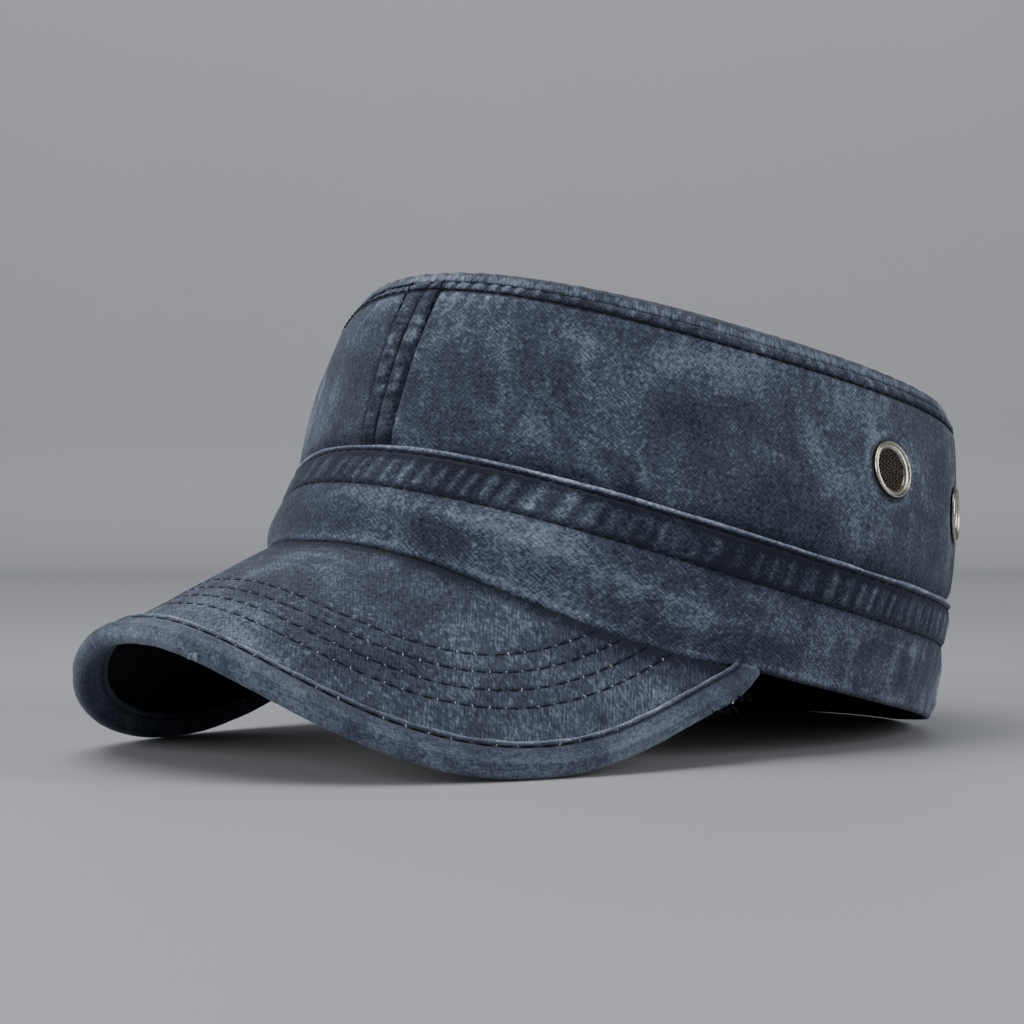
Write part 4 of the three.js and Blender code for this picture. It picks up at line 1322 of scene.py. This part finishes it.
def binding():
    edge = peak_edge(edge_shares(BINDING_COLUMNS))
    tangent = np.gradient(edge, axis=0)
    inwards = unit(np.stack([-tangent[:, 1], tangent[:, 0]], 1))
    if inwards[BINDING_COLUMNS // 2, 1] < 0:
        inwards = -inwards
    slope = steepness(edge, inwards)
    # As wide as it is all round, but ending inside the band at the corners
    room = np.full(BINDING_COLUMNS, 2.0 * BINDING_WIDTH)
    for reach in np.linspace(2 * BINDING_WIDTH, 0, ROOM_STEPS):
        room = np.where(under_band(edge + inwards * reach), reach + BAND_CLOTH / 2, room)
    width = np.minimum(BINDING_WIDTH, np.maximum(room * slope, EDGE_RADIUS * BINDING_LEAST_SHARE))
    along = running_length(on_skin(edge, np.zeros(BINDING_COLUMNS)))
    middle = STACK_TOP - EDGE_RADIUS
    low = middle - EDGE_RADIUS
    fold = BINDING_CLOTH / 2
    lines, vs = [], []

    def add(inset, rise, wear_and_highlight, shade, v):
        """A line along the whole strip: inset from the edge, rise over the peak's skin, wear
        with painted highlight, painted shade, and how far round the strip's cloth it lies."""
        lines.append([np.broadcast_to(value, along.shape) for value in (inset, rise, wear_and_highlight, shade)])
        vs.append(v)

    # Upper leaf, from its folded inner edge out to the rim
    wave = 0.16 * noise(along / 6, 0, 161) + 0.1 * noise(along / 2.6, 0, 162)
    pull = beats(along / RIM_PITCH)
    for turn in np.radians([-80, -45, 0, 45]):
        inset = width + wave - fold + fold * np.cos(turn) - 0.1
        add(inset, STACK_TOP - fold + fold * np.sin(turn), 0.95, 0, turn / 3 - 0.6)
    for share in np.linspace(0, 1, UPPER_LINES):
        inset = lerp(width - LEAF_END + wave, EDGE_RADIUS, share)
        row = bell(inset - RIM_ROW, ROW_WIDTH)
        lip = bell(inset - (width - 0.5), 0.7)
        puff = RIM_PUFF * step(RIM_ROW - inset, 0.3, 2.6) * (1 + 0.5 * noise(along / 5, share * 2, 163))
        ripple = 0.12 * noise(along / 3.2, share * 3, 164) * (1 - row)
        rise = STACK_TOP - 0.42 * row + puff + 0.1 * lip - 0.1 * row * pull + ripple
        wear_and_highlight = 0.75 * lip + 0.25 * bell(inset - 3.2, 1.6)
        add(inset, rise, wear_and_highlight, 0.95 * row, UPPER_LEAF * share)
    # The rim
    for degrees in np.linspace(82, -90, RIM_LINES):
        turn = math.radians(degrees)
        puff = RIM_PUFF * (1 + 0.5 * noise(along / 5, 2, 163)) * np.clip((degrees + 60) / 120, 0, 1)
        radius = EDGE_RADIUS + 0.1 * noise(along / 3.6, turn, 165) + puff * 0.4
        rise = middle + radius * math.sin(turn) + puff * 0.6 * max(0, math.sin(turn))
        # The rim is paler where it turns up: wear and painted highlight
        wear_and_highlight = 0.45 * bell((degrees - 20) / 40, 1)
        v = UPPER_LEAF + (math.pi / 2 - turn) * EDGE_RADIUS
        add(EDGE_RADIUS - radius * math.cos(turn), rise, wear_and_highlight, 0, v)
    # Lower leaf, back to its own folded edge
    for share in np.linspace(0.08, 1, LOWER_LINES):
        inset = lerp(EDGE_RADIUS, width - LEAF_END, share)
        row = bell(inset - RIM_ROW, ROW_WIDTH)
        add(inset, low + 0.25 * row, 0.2, 0.6 * row, lerp(LOWER_LEAF, LOWER_END, share))
    for turn in np.radians([-50, 0, 60]):
        inset = width - fold + fold * np.cos(turn)
        add(inset, low + fold + fold * np.sin(turn), 0.3, 0, LOWER_END + 0.5)
    # Inner faces of the folded strip
    under, over = low + BINDING_CLOTH, STACK_TOP - BINDING_CLOTH
    inner = PEAK_EDGE_INSET - GAP
    for inset, rise in ((INNER_REACH, under), (inner + BEVEL, under), (inner, under + BEVEL),
                        (inner, over - BEVEL), (inner + BEVEL, over), (INNER_REACH, over)):
        add(np.minimum(inset, width), rise, 0, 0.6, LOWER_END + 2)
    insets, rises, wears_and_highlights, shades = np.array(lines).transpose(1, 2, 0)
    thin = 1 - CORNER_THINNING * by_corner(edge[:, 0], edge[:, 1])
    rises = STACK_TOP + (rises - STACK_TOP) * thin[:, None]
    steps = np.minimum(insets / slope[:, None], room[:, None])
    place = edge[:, None] + inwards[:, None] * steps[..., None]
    verts = stand_on_floor(on_skin(place, rises)).reshape(-1, 3)
    count = len(lines)
    r, c, n = ring_cells(BINDING_COLUMNS - 1, count)
    quads = np.stack([r * count + c, r * count + n, (r + 1) * count + n, (r + 1) * count + c], 1)
    v_of = np.array(vs + [vs[-1] + 1])
    corners = ((r, c), (r, c + 1), (r + 1, c + 1), (r + 1, c))
    uv = np.stack([np.stack([along[row], v_of[line]], 1) for row, line in corners], 1)
    near_end = np.arange(count)[None]
    far_end = (BINDING_COLUMNS - 1) * count + near_end[:, ::-1]
    if volume(verts, quads) < 0:
        quads, uv = quads[:, ::-1], uv[:, ::-1]
        near_end, far_end = near_end[:, ::-1], far_end[:, ::-1]
    obj = add_object("binding_cloth", verts, [quads, near_end, far_end])
    set_uv(obj, np.concatenate([uv.reshape(-1, 2), np.zeros((2 * count, 2))]) * MM)
    set_field(obj, "wear_and_highlight", wears_and_highlights)
    set_field(obj, "shade", shades)
    return obj


binding_cloth = finish_piece(binding(), BINDING, "binding", "peak_binding")


# Stitches and loose threads

# Stitch pitches, and the share of each that shows
WALL_STITCH = (3.6, 0.86)
RIDGE_STITCH = (3.9, 0.8)
BAND_STITCH = (3.9, 0.82)
PEAK_STITCH = (STITCH_PITCH, 0.8)
RIM_STITCH = (RIM_PITCH, 0.86)
# Points of a row round the cap and of one up a seam, and how far from the seam's ends it stops
ROW_POINTS = 1500
SEAM_POINTS = 200
ROW_END = 1.2
ROW_WAVER = 0.12
RIM_STITCH_DEPTH = 0.4


def ring_row(arcs, heights, out_at):
    """A stitch row round the crown and the directions outwards along it."""
    angle = angle_of(arcs)
    path = crown_point(angle, heights, out_at)
    return path, unit(crown_point(angle, heights, out_at + 1) - path)


def wall_row(arcs, heights):
    """A stitch row of the wall."""
    return ring_row(arcs, heights, wall_relief(arcs, heights)[0] + tuck_at(heights))


def band_row(arcs, down):
    """A stitch row of the band, at a depth below the ridge."""
    foot = foot_height(angle_of(arcs), BAND_PROUD, FOOT_GAP)
    return ring_row(arcs, -down, BAND_PROUD + band_relief(arcs, down, -foot)[0])


def panel_row(arcs):
    """The top panel's own row, just inside the crease."""
    angle = angle_of(arcs)
    edge = crown_point(angle, WALL_HEIGHT, -fold_at(angle, WALL_HEIGHT))
    share = 1 - PANEL_ROW / np.hypot(edge[:, 0], edge[:, 1])
    path, inside, outside = (panel_skin(arcs, share + aside)[0] for aside in (0, -0.02, 0.02))
    outward = np.cross(np.gradient(path, axis=0), outside - inside)
    return path, unit(outward * np.sign(outward[:, 2:]))


def crown_rows():
    whole = np.linspace(-RING_LENGTH / 2, RING_LENGTH / 2, ROW_POINTS)
    waver = ROW_WAVER * ring_wave(whole, 19, 171)
    rows = [
        (*wall_row(whole, WALL_HEIGHT - WALL_ROW + 0.5 * waver), *WALL_STITCH),
        (*band_row(whole, RIDGE_ROW + 0.3 * waver), *RIDGE_STITCH),
        (*band_row(whole, BAND_ROW + waver), *BAND_STITCH),
    ]
    heights = np.linspace(ROW_END, WALL_HEIGHT - ROW_END, SEAM_POINTS)
    rear = RING_LENGTH / 2
    for arc in (SEAM_ARC - SEAM_ROW, SEAM_ARC + SEAM_ROW, rear - SEAM_ROW, SEAM_ROW - rear):
        rows.append((*wall_row(np.full_like(heights, arc), heights), *WALL_STITCH))
    rows.append((*panel_row(whole), *WALL_STITCH))
    return rows


crown_threads = stitches("crown_threads", crown_rows())
finish_piece(crown_threads, THREADS, "twill")


def peak_rows():
    rows = []
    for curve in ROW_CURVES:
        curve = kept(curve)
        relief = peak_relief(curve[None, :, :2])[0][0]
        normal = peak_normal(curve[:, 0], curve[:, 1])
        rows.append((curve + normal * relief[:, None], normal, *PEAK_STITCH))
    rim = kept(offset_curve(RIM_ROW))
    normal = peak_normal(rim[:, 0], rim[:, 1])
    rows.append((rim + normal * (STACK_TOP - RIM_STITCH_DEPTH), normal, *RIM_STITCH))
    return rows


PEAK_ROWS = peak_rows()
finish_piece(stitches("peak_threads", PEAK_ROWS), THREADS, "twill")


DOT_SEED = 5
DOTS_MISSING = 0.25
DOT_SWELL = np.array([0.5, 0.9, 1, 0.9, 0.5])
LOOSE_SIDES = 5


def stitch_dots():
    """Pale specks where the needle went through the peak, and twisted bits at the rim."""
    rng = np.random.RandomState(DOT_SEED)
    t = np.linspace(-1, 1, len(DOT_SWELL))
    arch = 0.1 + 0.12 * (1 - t ** 2)
    paths, radii = [], []
    for path, outward, pitch, _ in PEAK_ROWS:
        lengths = running_length(path)
        count = int(round(lengths[-1] / pitch))
        for k in range(1, count):
            if rng.rand() < DOTS_MISSING:
                continue
            s = lengths[-1] * k / count + scatter(rng, 0.15)
            at, up = at_length(path, lengths, s), at_length(outward, lengths, s)
            ahead = unit(at_length(path, lengths, s + 0.3) - at)
            length = 0.28 + 0.35 * rng.rand() ** 2
            lean = unit(np.cross(up, ahead) * (0.6 + 0.3 * rng.rand()) + ahead * scatter(rng, 1))
            paths.append(at + lean * (t * length)[:, None] + up * arch[:, None])
            radii.append((0.1 + 0.08 * rng.rand()) * DOT_SWELL)
    verts, faces = tube_parts(paths, radii, LOOSE_SIDES)
    return add_object("stitch_specks", stand(verts), faces)


finish_piece(stitch_dots(), DOTS, "twill")


CURL_POINTS = 22


def curl(rng, start, out, length, radius, turns):
    """A loose thread that wanders off from a place in a direction, in millimetres."""
    t = np.linspace(0, 1, CURL_POINTS)[:, None]
    drift = rng.rand(2, 3) - 0.5
    swing = np.sin(2 * math.pi * turns * t + rng.rand()) * drift[0]
    swing = swing + np.cos(3 * turns * t) * drift[1] * t
    path = start + out * (t * length) + swing * length * 0.5 * t
    return path, radius * np.linspace(1, 0.6, CURL_POINTS)


# Places of the loose threads along the peak's edge, from its middle to its near corner
RIM_TUFT = 0.162
FRAYS = (0.955, 0.965, 0.972, 0.981, 0.988)
PALE_FRAY = 0.975
# Which way they hang: forwards to the wearer's left, and down
HANGING = np.array([0.5, -0.5, -0.35])


def loose_threads(name, places, below, length, radius, seed, each):
    """A few loose threads at each of some places along the peak's edge."""
    rng = np.random.RandomState(seed)
    paths, radii = [], []
    for share in places:
        start = on_skin(peak_edge(np.array([share])), np.array([below]))[0]
        for _ in range(each):
            out = HANGING + 0.9 * (rng.rand(3) - 0.5)
            long = length * (0.6 + 0.8 * rng.rand())
            path, width = curl(rng, start, out, long, radius, 1 + rng.rand())
            paths.append(path)
            radii.append(width)
    verts, faces = tube_parts(paths, radii, LOOSE_SIDES)
    return add_object(name, stand(verts), faces)


finish_piece(loose_threads("rim_tuft", (RIM_TUFT,), 0.2, 2.2, 0.11, 7, 9), DOTS, "twill")
finish_piece(loose_threads("dark_frays", FRAYS, -0.8, 3.4, 0.2, 8, 4), THREADS, "twill")
finish_piece(loose_threads("pale_fray", (PALE_FRAY,), -1.2, 3.4, 0.17, 9, 2), DOTS, "twill")


# The eyelets

# Radius, height above the wall's skin, and how dirty, round the ring's section
RING_SECTION = [
    (5.6, -2.0, 1), (5.3, -0.5, 0.9), (5.38, -0.1, 0.6), (5.6, 0.2, 0.3), (6.1, 0.5, 0.05),
    (6.5, 0.6, 0.15), (6.62, 0.46, 0.75), (6.72, 0.5, 0.6), (6.85, 0.78, 0.05), (7.02, 0.93, 0),
    (7.2, 0.92, 0), (7.36, 0.76, 0.05), (7.47, 0.5, 0.2), (7.5, 0.22, 0.55), (7.44, 0.02, 0.9),
    (7.2, -0.05, 1), (6.62, -0.05, 1), (6.6, -2.0, 1),
]


RING_STEPS = 96
# The woven wires: their spacing, points along them, radius, and room inside the bore
WIRE_PITCH = 0.62
WIRE_STEP = WIRE_PITCH / 4
WIRE_RADIUS = 0.16
WIRE_SIDES = 4
MESH_MARGIN = 0.05


def eyelet_ring(name, spot, side):
    centre, right, up, facing = eyelet_frame(spot[1], spot[2], side)
    turns = np.arange(RING_STEPS)[:, None] / RING_STEPS * 2 * math.pi
    section = np.array(RING_SECTION)
    radial = np.cos(turns) * right + np.sin(turns) * up
    verts = centre + radial[:, None] * section[None, :, :1] + facing * section[None, :, 1:2]
    count = len(section)
    r, c, n = ring_cells(RING_STEPS, count)
    after = (r + 1) % RING_STEPS
    quads = np.stack([r * count + c, after * count + c, after * count + n, r * count + n], 1)
    verts = stand(verts).reshape(-1, 3)
    if volume(verts, quads) < 0:
        quads = quads[:, ::-1]
    obj = add_object(name, verts, [quads])
    set_field(obj, "shade", np.tile(section[:, 2], RING_STEPS))
    return obj


def eyelet_mesh(name, spot, side):
    """Fine woven wire, set back in the ring's bore."""
    centre, right, up, facing = eyelet_frame(spot[1], spot[2], side)
    radius = EYELET_BORE - MESH_MARGIN
    count = int(radius / WIRE_PITCH)
    paths = []
    for direction, across, phase in ((right, up, 0), (up, right, 1)):
        for k in range(-count, count + 1):
            offset = k * WIRE_PITCH
            half = math.sqrt(max(0.0, radius ** 2 - offset ** 2))
            if half < WIRE_PITCH:
                continue
            s = np.clip(np.arange(-half, half + WIRE_STEP, WIRE_STEP), -half, half)
            wave = WIRE_RADIUS * 0.95 * np.cos(math.pi * (s / WIRE_PITCH + k + phase))
            path = centre + direction * s[:, None] + across * offset
            paths.append(path + facing * (wave - MESH_DEPTH)[:, None])
    verts, faces = tube_parts(paths, [WIRE_RADIUS] * len(paths), WIRE_SIDES)
    obj = add_object(name, stand(verts), faces)
    set_field(obj, "shade", np.zeros(len(verts)))
    return obj


for side_name, side in (("left", 1), ("right", -1)):
    for spot in EYELETS:
        tail = f"{side_name}_{spot[0]}"
        ring = eyelet_ring(f"ring_{tail}", spot, side)
        finish_piece(ring, METAL, "eyelet_metal", f"eyelet_{tail}")
        weave = eyelet_mesh(f"wire_{tail}", spot, side)
        finish_piece(weave, WIRE, "eyelet_mesh", f"mesh_{tail}")

# Stage, light and camera

AZIMUTH = math.radians(47.642)
BACK = Vector((math.sin(AZIMUTH), -math.cos(AZIMUTH), 0))
RIGHT = Vector((math.cos(AZIMUTH), math.sin(AZIMUTH), 0))
CAMERA_AT = Vector((520.68, -484.55, 66.44)) * MM
CAMERA_TO = Vector((-20.55, 8.92, 61.13)) * MM
LENS = 92.84

camera = bpy.data.objects.new("camera", bpy.data.cameras.new("camera"))
camera.data.lens = LENS
camera.data.sensor_width = 36
camera.data.clip_start = 0.01
camera.data.clip_end = 50
camera.location = CAMERA_AT
camera.rotation_euler = (CAMERA_TO - CAMERA_AT).to_track_quat("-Z", "Y").to_euler()
bpy.context.scene.collection.objects.link(camera)
bpy.context.scene.camera = camera


# The stage in metres: floor in front, wall behind, the sweep between them, height and width
FLOOR_FRONT = 3.0
WALL_BEHIND = 1.6
SWEEP = 0.12
STAGE_HEIGHT = 3.2
STAGE_HALF_WIDTH = 3.4


def backdrop():
    """A floor that sweeps up into a wall behind the cap."""
    profile = [(-FLOOR_FRONT, 0.0), (WALL_BEHIND - SWEEP, 0.0)]
    for turn in np.radians(np.arange(6, 91, 6)):
        profile.append((WALL_BEHIND - SWEEP * (1 - math.sin(turn)), SWEEP * (1 - math.cos(turn))))
    profile.append((WALL_BEHIND, STAGE_HEIGHT))
    verts = [-BACK * along + RIGHT * side + Vector((0, 0, up))
             for along, up in profile for side in (-STAGE_HALF_WIDTH, STAGE_HALF_WIDTH)]
    k = np.arange(len(profile) - 1) * 2
    quads = np.stack([k, k + 1, k + 3, k + 2], 1)
    return add_object("backdrop", np.array([list(v) for v in verts]), [quads])


stage = backdrop()
n = Nodes("studio_grey")
ground = n.noise(n.add("ShaderNodeTexCoord").outputs["Object"], 3, 3, 0.5)
n.put(n.shader.inputs["Base Color"], n.mix(ground, linear("a5a7ac"), linear("aaacb1")))
n.shader.inputs["Roughness"].default_value = 0.55
n.shader.inputs["Specular IOR Level"].default_value = 0.3
stage.data.materials.append(n.material)


def area_light(name, at, to, size, power, colour):
    data = bpy.data.lights.new(name, "AREA")
    data.shape = "RECTANGLE"
    data.size, data.size_y = size
    data.energy = power
    data.color = colour
    light = bpy.data.objects.new(name, data)
    light.location = at
    light.rotation_euler = (Vector(to) - Vector(at)).to_track_quat("-Z", "Y").to_euler()
    bpy.context.scene.collection.objects.link(light)


def seen(right, back, up):
    """A place to the right of, in front of and above the cap, as the camera sees it."""
    return RIGHT * right + BACK * back + Vector((0, 0, up))


# Lights: name, place, aim, size in metres, power in watts and colour
WARM = (1, 0.99, 0.98)
WHITE = (1, 1, 1)
LIGHTS = [
    ("overhead", (-0.35, 0.15, 1.25), (0, 0, 0.03), (1.3, 1.1), 13, WARM),
    ("front_left", (-1.3, 1.1, 0.6), (0, 0, 0.05), (0.9, 0.9), 19, WARM),
    ("front_right", (1.65, 0.45, 0.6), (0, 0, 0.05), (0.8, 1.0), 18.5, WARM),
    ("wall_wash", (0, -1.2, 1.0), (0, -1.6, 0.75), (2.8, 0.3), 3.5, WHITE),
]
for light_name, place, aim, light_size, power, colour in LIGHTS:
    area_light(light_name, seen(*place), seen(*aim), light_size, power, colour)

world = bpy.data.worlds.new("studio")
world.use_nodes = True
world.node_tree.nodes["Background"].inputs["Color"].default_value = (0.62, 0.63, 0.65, 1)
world.node_tree.nodes["Background"].inputs["Strength"].default_value = 0.32
bpy.context.scene.world = world
